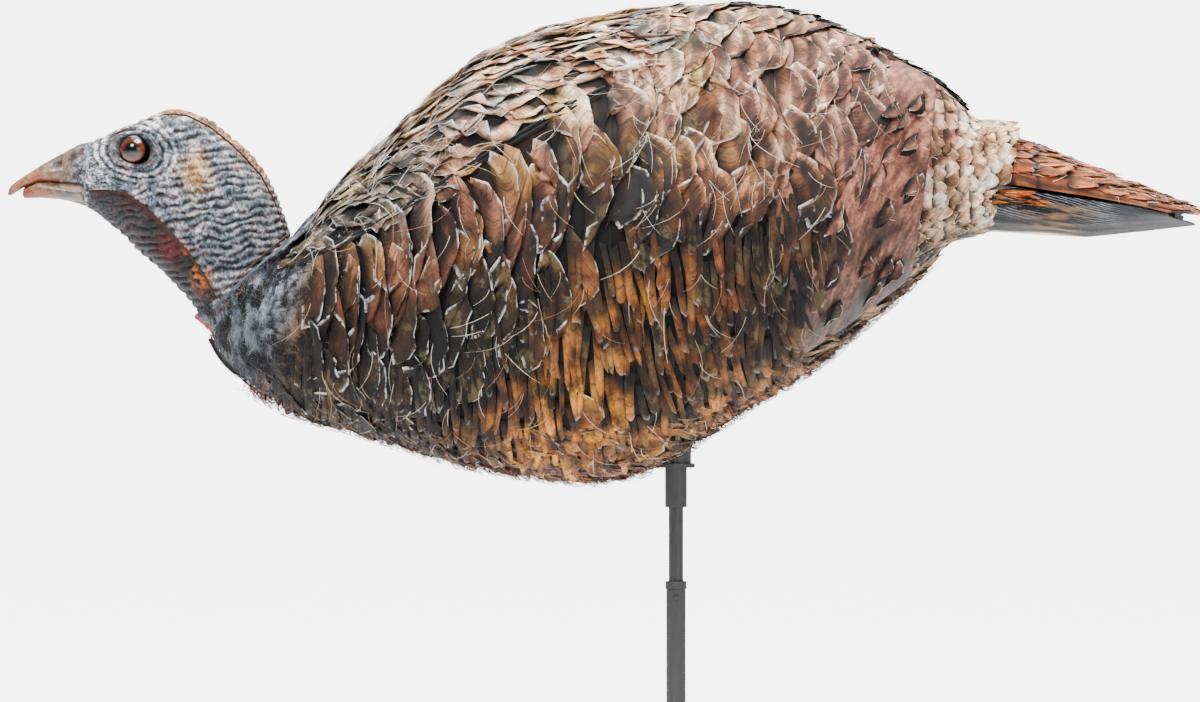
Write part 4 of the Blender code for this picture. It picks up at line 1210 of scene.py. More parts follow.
def in_rings(
    draw: np.random.Generator,
    shares: tuple[float, float],
    angles: tuple[float, float],
    ring_step: float,
    item_step: float,
    heading: float,
    jitter: float = 0.2,
) -> Layout:
    """Rings round the body, one behind the other.

    Args:
        draw: Random draws.
        shares: Front and rear limits.
        angles: Limits from the top, in radians; taken on both sides.
        ring_step: Share of the length from ring to ring.
        item_step: Radians from flap to flap.
        heading: Which way they point: 0 to the rear, a quarter turn downward.
        jitter: Random part of each step.

    Returns:
        The layout.
    """
    rings = np.arange(shares[0], shares[1], ring_step)
    items = np.arange(angles[0], angles[1], item_step)
    spots = []
    for side in (-1.0, 1.0):
        for index, ring in enumerate(rings):
            angle = items + (index % 2) * item_step / 2 + item_step * jitter * draw.normal(size=len(items))
            share = ring + ring_step * jitter * draw.normal(size=len(items))
            share = share + 0.3 * ring_step * np.sin(angle * 7.0 + index)
            inside = (angle > angles[0]) & (angle < angles[1])
            spots.append(np.stack([share[inside], side * angle[inside]], axis=1))
    found = np.concatenate(spots)
    turn = heading + 0.12 * draw.normal(size=len(found))
    return Layout(found[:, 0], found[:, 1], turn)


def skin_sheet(
    cloth: Cloth,
    skin: Skin,
    shares: tuple[float, float],
    edges: tuple[Callable[[np.ndarray], np.ndarray], Callable[[np.ndarray], np.ndarray]],
    size: tuple[int, int],
    colours: Painter,
    relief: Callable[..., np.ndarray],
    thickness: float = 0.0012,
) -> None:
    """A closed sheet of base cloth on a skin.

    Args:
        cloth: What it is added to.
        skin: The skin.
        shares: Front and rear ends.
        edges: Functions from shares to the first and the last angle.
        size: Rows and columns.
        colours: Colour of each place.
        relief: Height of each place above the skin.
        thickness: Thickness of the cloth.
    """
    rows, columns = size
    share = np.linspace(shares[0], shares[1], rows)[:, None] * np.ones((1, columns))
    first, last = edges[0](share[:, 0])[:, None], edges[1](share[:, 0])[:, None]
    angle = first + (last - first) * np.linspace(0.0, 1.0, columns)[None]
    point, normal, _, _ = skin.at(share, angle)
    height = relief(share, angle, point)
    upper = point + normal * height[..., None]
    lower = upper - normal * thickness
    tint = colours(share, angle, point, np.full(share.shape, 0.5)).reshape(-1, 3)
    both = np.concatenate([upper.reshape(-1, 3), lower.reshape(-1, 3)])
    cloth.add(both, sheet_quads(rows, columns), tint=np.concatenate([tint, tint * 0.5]))


STITCH = 0.0032  # metres from one stitch to the next


def tube_along(
    cloth: Cloth, line: np.ndarray, out: np.ndarray, radius: float, tint: np.ndarray, beads: float = 0.0
) -> None:
    """A cord or a welt along a line, closed at both ends.

    Args:
        cloth: What it is added to.
        line: (k, 3) its middle.
        out: (k, 3) a direction across it at each point.
        radius: Half its thickness.
        tint: Its colour, or one for each point.
        beads: Share by which stitches pinch it.
    """
    steps, sides = len(line), 8
    ahead = unit(np.gradient(line, axis=0))
    side = unit(np.cross(ahead, out))
    over = np.cross(side, ahead)
    far = np.concatenate([[0.0], np.cumsum(np.linalg.norm(np.diff(line, axis=0), axis=1))])
    pinch = 1.0 - beads * np.abs(np.sin(far / STITCH * math.pi)) ** 3
    ends = np.minimum(1.0, np.minimum(np.arange(steps), np.arange(steps)[::-1]) / 2.0 + 0.3)
    girth = (radius * pinch * ends)[:, None, None]
    turn = turns(sides)
    ring = side[:, None] * np.cos(turn)[None, :, None] + over[:, None] * np.sin(turn)[None, :, None]
    tints = np.broadcast_to(tint, (steps, 3))
    tips = [0, -1]
    spread = np.repeat(tints, sides, axis=0)
    add_tube(cloth, line[:, None] + girth * ring, line[tips], spread, tints[tips])


# ---------------------------------------------------------------------------------------------
# Body
# ---------------------------------------------------------------------------------------------
SKIN_NODES = [
    "back_panel",
    "neck_cape_left",
    "neck_cape_right",
    "wing_panel_left",
    "wing_panel_right",
    "breast_panel",
    "saddle_panel",
    "satin_band",
    "rear_belly_panel",
    "rump_band_top",
    "rump_band_under",
]
MOST_FLAPS = 1000  # in one piece


def body_centre(share: np.ndarray) -> np.ndarray:
    """Straight line from the collar to the tail hinge."""
    return COLLAR + share[:, None] * (TAIL_HINGE - COLLAR)


def body_upward(share: np.ndarray) -> np.ndarray:
    """Sections lean with the collar at the front and a little with the tail at the rear."""
    turn = np.radians(90.0 - 48.0 * np.exp(-share / 0.085) - 13.0 * rise(0.82, 1.0, share))
    return np.stack([np.cos(turn), np.zeros_like(turn), np.sin(turn)], axis=-1)


@dataclass(frozen=True)
class DyeLot:
    """Middle colour of the print round one place of the body."""

    share: float
    degrees: float
    colour: tuple[float, float, float]


BODY_LOTS = (
    # shoulder and back
    DyeLot(0.17, 62, (0.190, 0.155, 0.130)),
    DyeLot(0.20, 25, (0.430, 0.300, 0.235)),
    DyeLot(0.36, 50, (0.900, 0.600, 0.460)),
    DyeLot(0.35, 14, (0.960, 0.680, 0.540)),
    DyeLot(0.52, 12, (0.970, 0.700, 0.560)),
    DyeLot(0.65, 15, (0.950, 0.620, 0.480)),
    # wing below the seam
    DyeLot(0.25, 94, (0.220, 0.106, 0.078)),
    DyeLot(0.36, 78, (0.230, 0.115, 0.084)),
    DyeLot(0.49, 46, (0.960, 0.620, 0.480)),
    # breast, flank and belly
    DyeLot(0.12, 112, (0.026, 0.011, 0.006)),
    DyeLot(0.20, 150, (0.013, 0.006, 0.003)),
    DyeLot(0.30, 112, (0.004, 0.0022, 0.0014)),
    DyeLot(0.46, 82, (0.014, 0.007, 0.0045)),
    DyeLot(0.50, 112, (0.190, 0.090, 0.040)),
    DyeLot(0.40, 150, (0.260, 0.120, 0.058)),
    # saddle and rear flank
    DyeLot(0.68, 58, (0.420, 0.230, 0.155)),
    DyeLot(0.78, 30, (0.660, 0.390, 0.290)),
    DyeLot(0.60, 108, (0.060, 0.026, 0.014)),
    DyeLot(0.74, 116, (0.026, 0.013, 0.008)),
    DyeLot(0.60, 150, (0.170, 0.082, 0.042)),
    # satin and rump
    DyeLot(0.86, 50, (0.240, 0.120, 0.098)),
    DyeLot(0.86, 112, (0.070, 0.034, 0.024)),
    DyeLot(0.97, 40, (0.930, 0.640, 0.440)),
    DyeLot(0.97, 100, (0.960, 0.720, 0.560)),
    DyeLot(0.90, 145, (0.240, 0.170, 0.120)),
)


class Print:
    """A print whose colour changes over a skin: blended dye lots, and blotches from dark to light."""

    LOT_LENGTH = 0.085
    LOT_TURN = 0.36
    OLIVE_CAST = np.array([0.86, 0.93, 0.66])
    SLATE_CAST = np.array([0.20, 0.28, 0.30])

    def __init__(self, lots: tuple[DyeLot, ...], size: float, seed: int) -> None:
        """Set the dye lots.

        Args:
            lots: The lots.
            size: Blotches in a metre.
            seed: Number that fixes them.
        """
        self.lots, self.size, self.ripple = lots, size, Ripple(seed)

    def middle(self, share: np.ndarray, angle: np.ndarray) -> np.ndarray:
        """Blended middle colour at each place.

        Args:
            share: Shares of the skin's length.
            angle: Angles from the top.

        Returns:
            One colour for each place.
        """
        turn = from_top(angle)
        total, weights = np.zeros((*share.shape, 3)), np.zeros(share.shape)
        for lot in self.lots:
            far = ((share - lot.share) / self.LOT_LENGTH) ** 2
            far = far + ((turn - np.radians(lot.degrees)) / self.LOT_TURN) ** 2
            weight = np.exp(-far) + 1e-7 / (0.05 + far)
            total += weight[..., None] * np.log(lot.colour)
            weights += weight
        return np.exp(total / weights[..., None])

    def at(self, share: np.ndarray, angle: np.ndarray, point: np.ndarray, luck: np.ndarray) -> np.ndarray:
        """Colours of the print.

        Args:
            share: Shares of the skin's length.
            angle: Angles from the top.
            point: The same places in space.
            luck: 0 to 1 for each flap.

        Returns:
            One colour for each place.
        """
        middle = self.middle(share, angle)
        dark = middle * (0.08 + 0.25 * middle)
        light = 1.0 - (1.0 - middle) ** 3.4
        blot = self.ripple.layered(point * self.size, 3, 0.6)
        tone = 0.54 + 0.95 * blot + 0.75 * (luck - 0.5)
        shown = mixed(dark, middle, np.clip(tone * 2.0, 0.0, 1.0))
        shown = mixed(shown, light, np.clip(tone * 2.0 - 1.25, 0.0, 0.85))
        patch = self.ripple.layered(point * self.size * 0.42 + 17.0, 2, 0.6) + 0.25 * (luck - 0.5)
        olive = shown * self.OLIVE_CAST
        slate = shown * self.SLATE_CAST
        front = 1.0 - rise(0.60, 0.78, share)
        shown = mixed(shown, olive, 0.8 * rise(0.18, 0.36, patch) * front)
        return mixed(shown, slate, 0.85 * rise(-0.24, -0.42, patch) * (0.35 + 0.65 * front))


class Follow(Enum):
    """Which part of the decoy a piece of the body's cover belongs to; put parents it to the body, or leaves a tail
    piece without a parent and bakes its transform.
    """

    FOLD = "it flattens towards the spine as the frame folds"
    COLLAR = "it stays round on the collar's disc"
    TAIL = "it bends with the tail"


@dataclass(frozen=True)
class Panel:
    """One base panel: where it lies, its edges, and what its slot is."""

    name: str
    shares: tuple[float, float]
    edges: tuple[Callable[[np.ndarray], np.ndarray], Callable[[np.ndarray], np.ndarray]]
    slot: str


@dataclass
class Plumage:
    """Printed die-cut cloth round the body: base panels, rows of flaps, seams and threads."""

    seam_at_collar: float = deg(88.0)
    seam_at_star: float = deg(48.0)
    star: float = 0.494
    cape_end: float = 0.11
    cape_split: float = 0.052
    rump_split: float = 0.962
    saddle_start: float = 0.50
    satin_start: float = 0.828
    satin_slant: float = 0.085
    rump_taper: float = 0.15
    rump_bend: tuple[float, float] = (-0.036, 0.012)
    rump_start: float = 0.905
    breast_edge: float = deg(150.0)
    belly_edge: float = deg(116.0)
    fold_keep: float = 0.35
    thread_radius: float = 0.00012
    rows: int = 150
    columns: int = 176
    seed: int = 41

    def seam(self, share: np.ndarray) -> np.ndarray:
        """Angle of the side seam from the top."""
        along = np.clip(np.asarray(share, float) / self.star, 0.0, 1.0)
        return self.seam_at_collar + (self.seam_at_star - self.seam_at_collar) * along

    def taper(self) -> None:
        """Draw the rear of the rump down to the root of the tail."""
        rows, columns = self.skin.rows, self.skin.columns
        share = np.linspace(0.0, 1.0, rows)[:, None]
        turn = (np.arange(columns) / columns * TURN)[None] + self.skin.low
        points = self.skin.table[..., :3].copy()
        centre = points.mean(axis=1, keepdims=True)
        above = 0.5 + 0.5 * np.cos(turn)
        drawn = self.rump_taper * rise(0.90, 1.0, share) ** 1.5 * above
        points = points + (centre - points) * drawn[..., None]
        self.skin = Skin(points, centre[:, 0], self.skin.low, self.skin.high, True)

    def start(self) -> None:
        """Measure the skin and mix the print."""
        self.skin = measured_skin(
            SKIN_NODES, body_centre, body_upward, rows=self.rows, columns=self.columns, thickness=0.0015,
            blur=5,
        )
        self.taper()
        self.draw = np.random.default_rng(self.seed)
        self.print = Print(BODY_LOTS, size=62.0, seed=self.seed)
        self.bed = Bed(self.skin, self.print.at, self.draw)
        self.cloth_finish = CutClothFinish("printed_die_cut_cloth").material()
        self.strip_finish = CutClothFinish(
            "printed_strip_cloth", roughness=0.78, blotch=190.0, barbs=0.9, streaks_across=2.2,
            streaks_along=9.0, ticks_across=0.0, ticks_along=2.2,
        ).material()
        self.rump_finish = CutClothFinish(
            "rump_net_cloth", roughness=0.8, blotch=220.0, barbs=0.5, streaks_across=6.0, streaks_along=1.5,
            ticks_across=0.0,
        ).material()
        self.base_finish = PaintedFinish("painted_base_cloth", roughness=0.9).material()
        self.thread_finish = PaintedFinish("frayed_thread", roughness=0.7, weave=False).material()
        self.satin_finish = PaintedFinish(
            "mauve_satin", roughness=0.5, blotch=190.0, contrast=0.8, sheen=0.10, relief=0.00015
        ).material()

    def put(
        self, cloth: Cloth, name: str, finish: bpy.types.Material, slot: str, follow: Follow = Follow.FOLD
    ) -> bpy.types.Object:
        """Make a piece of the body's cover.

        Args:
            cloth: Its points and faces.
            name: What it is called.
            finish: Its material.
            slot: The record's material slot.
            follow: Which part of the decoy it belongs to: a tail piece gets no parent and its transform is baked,
                any other piece rides the body.

        Returns:
            The piece.
        """
        made = cloth.piece(name, finish, slot, None if follow is Follow.TAIL else BODY)
        if follow is Follow.TAIL:
            start, end = (tuple(TAIL_HINGE + offset * SPINE) for offset in self.rump_bend)
            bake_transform(made)
            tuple(start)
            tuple(end)
        elif follow is Follow.FOLD:
            across = unit(np.cross(ACROSS, COLLAR - TAIL_HINGE))
            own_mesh(made)
        return made

    def base(self) -> None:
        """Base cloth, panel by panel, under the flaps; away from the cape its print is darkened as painted shade.
        """
        seam, cape, wing, belly = self.seam, "cape_print", self.breast_edge, self.belly_edge
        front, rear = (self.cape_split, self.saddle_start), (self.saddle_start, self.rump_start)
        neck, saddle = (-0.01, self.cape_split), (self.saddle_start, self.satin_start)
        plans = [
            Panel("back_panel", front, (lambda u: -seam(u), seam), "back_print"),
            Panel("wing_panel_left", front, (level(-wing), lambda u: -seam(u)), "wing_print"),
            Panel("wing_panel_right", front, (seam, level(wing)), "wing_print"),
            Panel("breast_panel", front, (level(wing), level(TURN - wing)), "wing_print"),
            Panel("saddle_panel", saddle, (level(-belly), level(belly)), "saddle_print"),
            Panel("rear_belly_panel", rear, (level(belly), level(TURN - belly)), "wing_print"),
            Panel("neck_cape_left", neck, (level(-math.pi), level(0.0)), cape),
            Panel("neck_cape_right", neck, (level(0.0), level(math.pi)), cape),
        ]
        ripple = Ripple(self.seed + 3)

        def dim(share: np.ndarray, angle: np.ndarray, point: np.ndarray, luck: np.ndarray) -> np.ndarray:
            """The print, darkened as painted shade between the flaps, and the cape's mottle in front.

            Args:
                share: Shares of the body's length.
                angle: Angles from the top.
                point: The same places in space.
                luck: 0 to 1 for each place.

            Returns:
                One colour for each place.
            """
            front = 1.0 - rise(self.cape_end - 0.02, self.cape_end + 0.01, share)
            # Painted shade: the print at a twentieth of its brightness, as it lies in the flaps' shadow.
            shown = self.print.at(share, angle, point, luck) * 0.05
            return mixed(shown, self.cape_colours(share, angle, point, luck), front)

        def soft(share: np.ndarray, angle: np.ndarray, point: np.ndarray) -> np.ndarray:
            """Slack in the cloth between the ribs."""
            return -0.0006 + 0.0006 * ripple.at(point * 30.0)

        for panel in plans:
            cloth = Cloth()
            caped = panel.slot == cape
            size = (70, 150) if caped else (int(24 + 150 * (panel.shares[1] - panel.shares[0])), 110)
            painter = self.cape_colours if caped else dim
            skin_sheet(cloth, self.skin, panel.shares, panel.edges, size, painter, soft)
            follow = Follow.COLLAR if caped else Follow.FOLD
            self.put_panel(cloth, panel.name, self.base_finish, panel.slot, follow)

    def put_panel(
        self, cloth: Cloth, name: str, finish: bpy.types.Material, slot: str, follow: Follow = Follow.FOLD
    ) -> None:
        """Make a base panel that stands for the frame's panel of the same name.

        Args:
            cloth: Its points and faces.
            name: The frame's panel.
            finish: Its material.
            slot: The record's material slot.
            follow: Which part of the decoy it belongs to, as put takes it.
        """
        made = self.put(cloth, name + "_cloth", finish, slot, follow)
        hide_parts(name)
        self.declare(made, cloth)

    @staticmethod
    def declare(made: bpy.types.Object, cloth: Cloth, over: str = "spine_shaft") -> None:
        """Gather the points and quads of a panel's upper side; nothing is done with them.

        Args:
            made: The panel; not used.
            cloth: Its points and faces.
            over: The CAD node that holds it out; not used.
        """
        points = np.concatenate(cloth.points)[: cloth.count // 2]
        quads = cloth.quads[0]
        quads = quads[(quads < cloth.count // 2).all(axis=1)]

    def field(
        self,
        name: str,
        lay: Layout,
        kind: Flap,
        slot: str,
        tints: list[Dye] | None = None,
        finish: bpy.types.Material | None = None,
        follow: Follow = Follow.FOLD,
    ) -> None:
        """A field of flaps with its loose threads, split into pieces of a fair size.

        Args:
            name: What the pieces are called.
            lay: Roots and headings.
            kind: The flap.
            slot: The record's material slot.
            tints: Dyes of the loose threads.
            finish: Its material, if it isn't the usual printed cloth.
            follow: Which part of the decoy it belongs to, as put takes it.
        """
        for number, start in enumerate(range(0, len(lay.share), MOST_FLAPS), 1):
            part = lay.part(start, start + MOST_FLAPS)
            cloth = Cloth()
            self.bed.flaps(cloth, part, kind)
            self.put(cloth, f"{name}_{number}", finish or self.cloth_finish, slot, follow)
        if kind.threads <= 0:
            return
        picked = self.draw.random(len(lay.share) * 4) < kind.threads / 4
        index = np.repeat(np.arange(len(lay.share)), 4)[picked]
        wide = self.draw.uniform(-0.45, 0.45, len(index))
        near = self.bed.frame_at(lay)
        share, angle, _, _ = self.bed.walk(
            lay, near, np.full((len(lay.share), 1), kind.length * 0.75), np.zeros((len(lay.share), 1))
        )
        pace = kind.width / np.linalg.norm(near[5][index], axis=-1)
        lines = Layout(
            share[index, 0] + wide * 0.01 * (kind.hang == 0.0),
            angle[index, 0] + wide * pace,
            lay.heading[index] + kind.hang,
        )
        cloth = Cloth()
        colours = [dye(tint) for tint in (tints or [Dye.CREAM, Dye.SAND, Dye.FROST])]
        self.bed.threads(
            cloth, lines, length=kind.thread_length, lift=kind.lift, radius=self.thread_radius, tints=colours,
            sprawl=0.35, start=kind.lift, steps=6,
        )
        if cloth.count:
            self.put(cloth, name + "_threads", self.thread_finish, slot, follow)

    def back(self) -> None:
        """Long lens-shaped cuts on the upper back, in wavy lines that drop to the rear."""
        lay = along_rows(
            self.draw, shares=(0.085, 0.58), angles=(0.0, deg(92)), row_step=0.062, item_step=0.066,
            heading=deg(104), slope=0.40, jitter=0.20,
        )
        lay = lay.kept(np.abs(lay.angle) < self.seam(lay.share) - deg(4))
        kind = Flap(
            length=0.0150, width=0.052, lift=0.0038, edge=Edge.LENS, wave=0.26, fray=1.0, threads=1.7,
            ragged=0.35, bow=0.003, columns=9, thread_length=0.020, hang=-math.pi / 2,
        )
        self.field("back_flaps", lay, kind, "back_print", [Dye.CREAM, Dye.FROST, Dye.SAND, Dye.CHALK])

    def wings(self) -> None:
        """Long curved flaps that hang below the side seam and open to the rear."""
        lay = in_rings(
            self.draw, shares=(0.10, 0.60), angles=(deg(40), deg(150)), ring_step=0.0235, item_step=0.30,
            heading=deg(6), jitter=0.14,
        )
        below = np.abs(lay.angle) - self.seam(lay.share)
        lay = lay.kept((below > deg(7)) & (below < deg(62) - deg(30) * rise(0.34, 0.50, lay.share)))
        kind = Flap(
            length=0.0200, width=0.074, lift=0.0048, edge=Edge.BAND, fray=0.8, threads=0.8, ragged=0.18,
            wave=0.06, rise=1.1, bow=0.0070, spread=0.16, columns=9, thread_length=0.022, hang=math.pi / 2,
        )
        self.field("wing_flaps", lay, kind, "wing_print", [Dye.CREAM, Dye.ROSE, Dye.SAND])

    def strips(self) -> None:
        """Narrow hanging strips on the lower sides, in staggered rows with dark gaps."""
        lay = along_rows(
            self.draw, shares=(0.10, 0.88), angles=(deg(66), deg(160)), row_step=0.150, item_step=0.0132,
            heading=deg(90), jitter=0.12,
        )
        below = np.abs(lay.angle) - self.seam(lay.share)
        lay = lay.kept((below > deg(40) - deg(6) * rise(0.42, 0.5, lay.share)) & self.before_satin(lay))
        kind = Flap(
            length=0.046, width=0.0052, lift=0.0042, edge=Edge.STRIP, twist=0.28, wave=0.02, spread=0.16,
            rows=9, columns=4, fray=0.22, threads=0.30, ragged=0.10, thread_length=0.024, rise=0.8,
        )
        tints = [Dye.CREAM, Dye.TAN, Dye.UMBER, Dye.SAND]
        self.field("side_strips", lay, kind, "wing_print", tints, self.strip_finish)

    def before_satin(self, lay: Layout) -> np.ndarray:
        """Which roots lie in front of the satin band, whose front edge slants forward below."""
        turn = from_top(lay.angle)
        return lay.share < self.satin_start + 0.014 - self.satin_slant * rise(deg(50), deg(135), turn)

    def belly(self) -> None:
        """Slanting strips and larger flaps along the belly, with a short dark fringe."""
        lay = in_rings(
            self.draw, shares=(0.09, 0.93), angles=(deg(144), deg(180)), ring_step=0.020, item_step=0.15,
            heading=deg(38), jitter=0.3,
        )
        kind = Flap(
            length=0.032, width=0.0072, lift=0.0042, edge=Edge.STRIP, spread=0.3, fray=0.5, ragged=0.3,
            rows=7, columns=4, threads=0.7, twist=0.4, thread_length=0.018,
        )
        tints = [Dye.INK, Dye.UMBER, Dye.SAND, Dye.TAN]
        self.field("belly_strips", lay, kind, "wing_print", tints, self.strip_finish)
        lay = in_rings(
            self.draw, shares=(0.16, 0.55), angles=(deg(140), deg(172)), ring_step=0.045, item_step=0.30,
            heading=deg(20), jitter=0.35,
        )
        kind = Flap(
            length=0.024, width=0.034, lift=0.0050, edge=Edge.BAND, fray=0.6, ragged=0.3, bow=0.004,
            threads=0.8, shade=1.1,
        )
        self.field("belly_flaps", lay, kind, "wing_print", tints)
        draw = self.draw
        count = 2600
        side = np.where(draw.random(count) < 0.5, -1.0, 1.0)
        angle = side * (math.pi - np.abs(draw.normal(size=count)) * 0.22)
        fringe = Layout(draw.uniform(0.06, 0.95, count), angle, draw.uniform(0.6, 1.7, count))
        cloth = Cloth()
        dark = [dye(Dye.INK), dye(Dye.UMBER), dye(Dye.BRONZE)]
        self.bed.threads(
            cloth, fringe, length=0.010, lift=0.006, radius=0.0003, tints=dark, sprawl=0.6, start=0.001
        )
        self.put(cloth, "belly_fringe", self.thread_finish, "wing_print")

    def saddle(self) -> None:
        """Curved barred flaps over the rear of the back, open to the rear."""
        lay = in_rings(
            self.draw, shares=(0.49, 0.842), angles=(0.0, deg(112)), ring_step=0.0265, item_step=0.275,
            heading=deg(3), jitter=0.09,
        )
        past = lay.share > self.star + 0.03 * np.cos(lay.angle * 3)
        lay = lay.kept(past | (np.abs(lay.angle) > self.seam(lay.share)))
        above = np.abs(lay.angle) < deg(88) + deg(18) * rise(0.70, 0.8, lay.share)
        lay = lay.kept(self.before_satin(lay) & above)
        kind = Flap(
            length=0.0215, width=0.058, lift=0.0040, edge=Edge.BAND, bar=0.75, fray=0.9, threads=1.2,
            ragged=0.14, wave=0.04, rise=1.2, bow=0.0062, spread=0.12, columns=9, thread_length=0.022,
            hang=math.pi / 2,
        )
        self.field("saddle_flaps", lay, kind, "saddle_print", [Dye.CREAM, Dye.CHALK, Dye.SAND])

    def satin_colours(
        self, share: np.ndarray, angle: np.ndarray, point: np.ndarray, luck: np.ndarray
    ) -> np.ndarray:
        """Mauve with fine slanting streaks, darker towards the bottom, and smoky patches that gather to the rear.

        Args:
            share: Shares of the skin's length.
            angle: Angles from the top.
            point: The same places in space.
            luck: 0 to 1 for each flap.

        Returns:
            One colour for each place.
        """
        turn = from_top(angle)
        slant = np.stack([share * 420.0 + turn * 26.0, turn * 11.0 - share * 20.0, share * 0.0], axis=-1)
        streak = self.print.ripple.layered(slant * 0.55, 3, 0.6)
        patch = self.print.ripple.layered(point * 26.0 + 3.0, 2, 0.5)
        middle = mixed(dye(Dye.MAUVE), dye(Dye.ROSE), np.clip(0.45 + streak, 0.0, 1.0))
        # Darker towards the bottom, by angle from the top.
        middle = middle * (0.62 + 0.36 * streak - 0.38 * rise(1.5, 2.3, turn))[..., None]
        smoke = np.clip(1.5 * patch - 0.04 + 0.75 * rise(0.872, 0.915, share), 0.0, 0.85)
        return mixed(middle, mixed(dye(Dye.INK), dye(Dye.UMBER), 0.35) * 0.9, smoke)

    def satin(self) -> None:
        """Smooth satin band under the flaps in front of it, with a few short slits over patches of painted shadow.
        """
        ripple = Ripple(self.seed + 9)

        def relief(share: np.ndarray, angle: np.ndarray, point: np.ndarray) -> np.ndarray:
            """Soft folds that run round the band.

            Args:
                share: Shares of the body's length.
                angle: Angles from the top.
                point: The same places in space.

            Returns:
                Heights above the skin.
            """
            fold = ripple.layered(point * np.array([60.0, 14.0, 14.0]), 3)
            turn = from_top(angle)
            front = self.satin_start + 0.008 - self.satin_slant * rise(deg(50), deg(135), turn)
            return 0.0002 + (0.0022 + 0.0011 * fold) * rise(front - 0.004, front + 0.022, share)

        cloth = Cloth()
        limit = deg(150)
        shares = (self.satin_start - self.satin_slant - 0.02, self.rump_start + 0.02)
        edges = (level(-limit), level(limit))
        skin_sheet(cloth, self.skin, shares, edges, (70, 400), self.satin_colours, relief)
        self.put_panel(cloth, "satin_band", self.satin_finish, "satin_print")
        lay = in_rings(
            self.draw, shares=(0.780, 0.915), angles=(0.0, deg(140)), ring_step=0.024, item_step=0.21,
            heading=deg(48), jitter=0.3,
        )
        lay = lay.kept((self.draw.random(len(lay.share)) < 0.45) & ~self.before_satin(lay))
        bed = self.bed
        self.bed = Bed(self.skin, self.satin_colours, self.draw)
        lay.heading[:] = lay.heading - deg(10)
        # Painted shadow: near-black lens patches under the slits stand for the shade inside each opening.
        gap = Flap(
            length=0.0105, width=0.021, lift=0.0006, edge=Edge.LENS, base=0.0040, fray=0.0, shade=0.03,
            spread=0.1, bow=-0.001,
        )
        self.field("satin_slit_shadows", lay, gap, "satin_print")
        kind = Flap(
            length=0.0070, width=0.019, lift=0.0034, edge=Edge.LENS, base=0.0046, fray=1.0, threads=0.8,
            thread_length=0.014, spread=0.1, shade=1.1,
        )
        self.field("satin_slits", lay, kind, "satin_print", [Dye.CREAM, Dye.ROSE])
        self.bed = bed

    def rump(self) -> None:
        """Scalloped net with pale edges round the root of the tail."""

        def relief(share: np.ndarray, angle: np.ndarray, point: np.ndarray) -> np.ndarray:
            """Flat."""
            return np.full(share.shape, 0.0010)

        for name, low, high in (("rump_band_top", -100, 100), ("rump_band_under", 100, 260)):
            cloth = Cloth()
            edges, shares = (level(deg(low)), level(deg(high))), (self.rump_split - 0.006, 1.03)
            skin_sheet(cloth, self.skin, shares, edges, (26, 150), self.print.at, relief)
            self.put_panel(cloth, name, self.base_finish, "rump_print", Follow.TAIL)
        cloth = Cloth()
        edges = (level(-math.pi), level(math.pi))
        shares = (self.rump_start - 0.01, self.rump_split + 0.004)
        skin_sheet(cloth, self.skin, shares, edges, (20, 260), self.print.at, relief)
        made = self.put(cloth, "rump_front_cloth", self.base_finish, "rump_print")
        self.declare(made, cloth)
        lay = in_rings(
            self.draw, shares=(0.905, 1.035), angles=(0.0, deg(180)), ring_step=0.0155, item_step=0.155,
            heading=deg(0), jitter=0.05,
        )
        kind = Flap(
            length=0.0128, width=0.0128, lift=0.0011, edge=Edge.SCALLOP, base=0.0012, fray=1.0, threads=0.3,
            ragged=0.06, wave=0.0, spread=0.07, thread_length=0.008, shade=1.15,
        )
        tints = [Dye.CHALK, Dye.CREAM, Dye.FROST]
        ahead = lay.share < self.rump_split - 0.012
        parts = (("rump_front_scallops", ahead, Follow.FOLD), ("rump_scallops", ~ahead, Follow.TAIL))
        for name, keep, follow in parts:
            self.field(name, lay.kept(keep), kind, "rump_print", tints, self.rump_finish, follow)

    def cape(self) -> None:
        """Short furry nap on the mottled cape at the foot of the neck."""
        draw, count = self.draw, 9000
        share = draw.uniform(0.012, self.cape_end + 0.03, count)
        lay = Layout(share, draw.uniform(-math.pi, math.pi, count), draw.normal(size=count) * 0.5 + 0.6)
        ahead = share < self.cape_split
        parts = (("cape_collar_fur", ahead, Follow.COLLAR), ("cape_fur", ~ahead, Follow.FOLD))
        for name, keep, follow in parts:
            part, cloth = lay.kept(keep), Cloth()
            shown = self.cape_colours(part.share, part.angle, self.skin.at(part.share, part.angle)[0], 0.5)
            self.bed.threads(
                cloth, part, length=0.0050, lift=0.0012, radius=0.00024, tints=[np.ones(3)], sprawl=0.5,
                start=0.0004,
            )
            strength = draw.uniform(0.5, 1.5, (len(part.share), 1))
            cloth.paint["tint"] = [np.repeat(shown * strength, 12, axis=0)]
            self.put(cloth, name, self.thread_finish, "cape_print", follow)

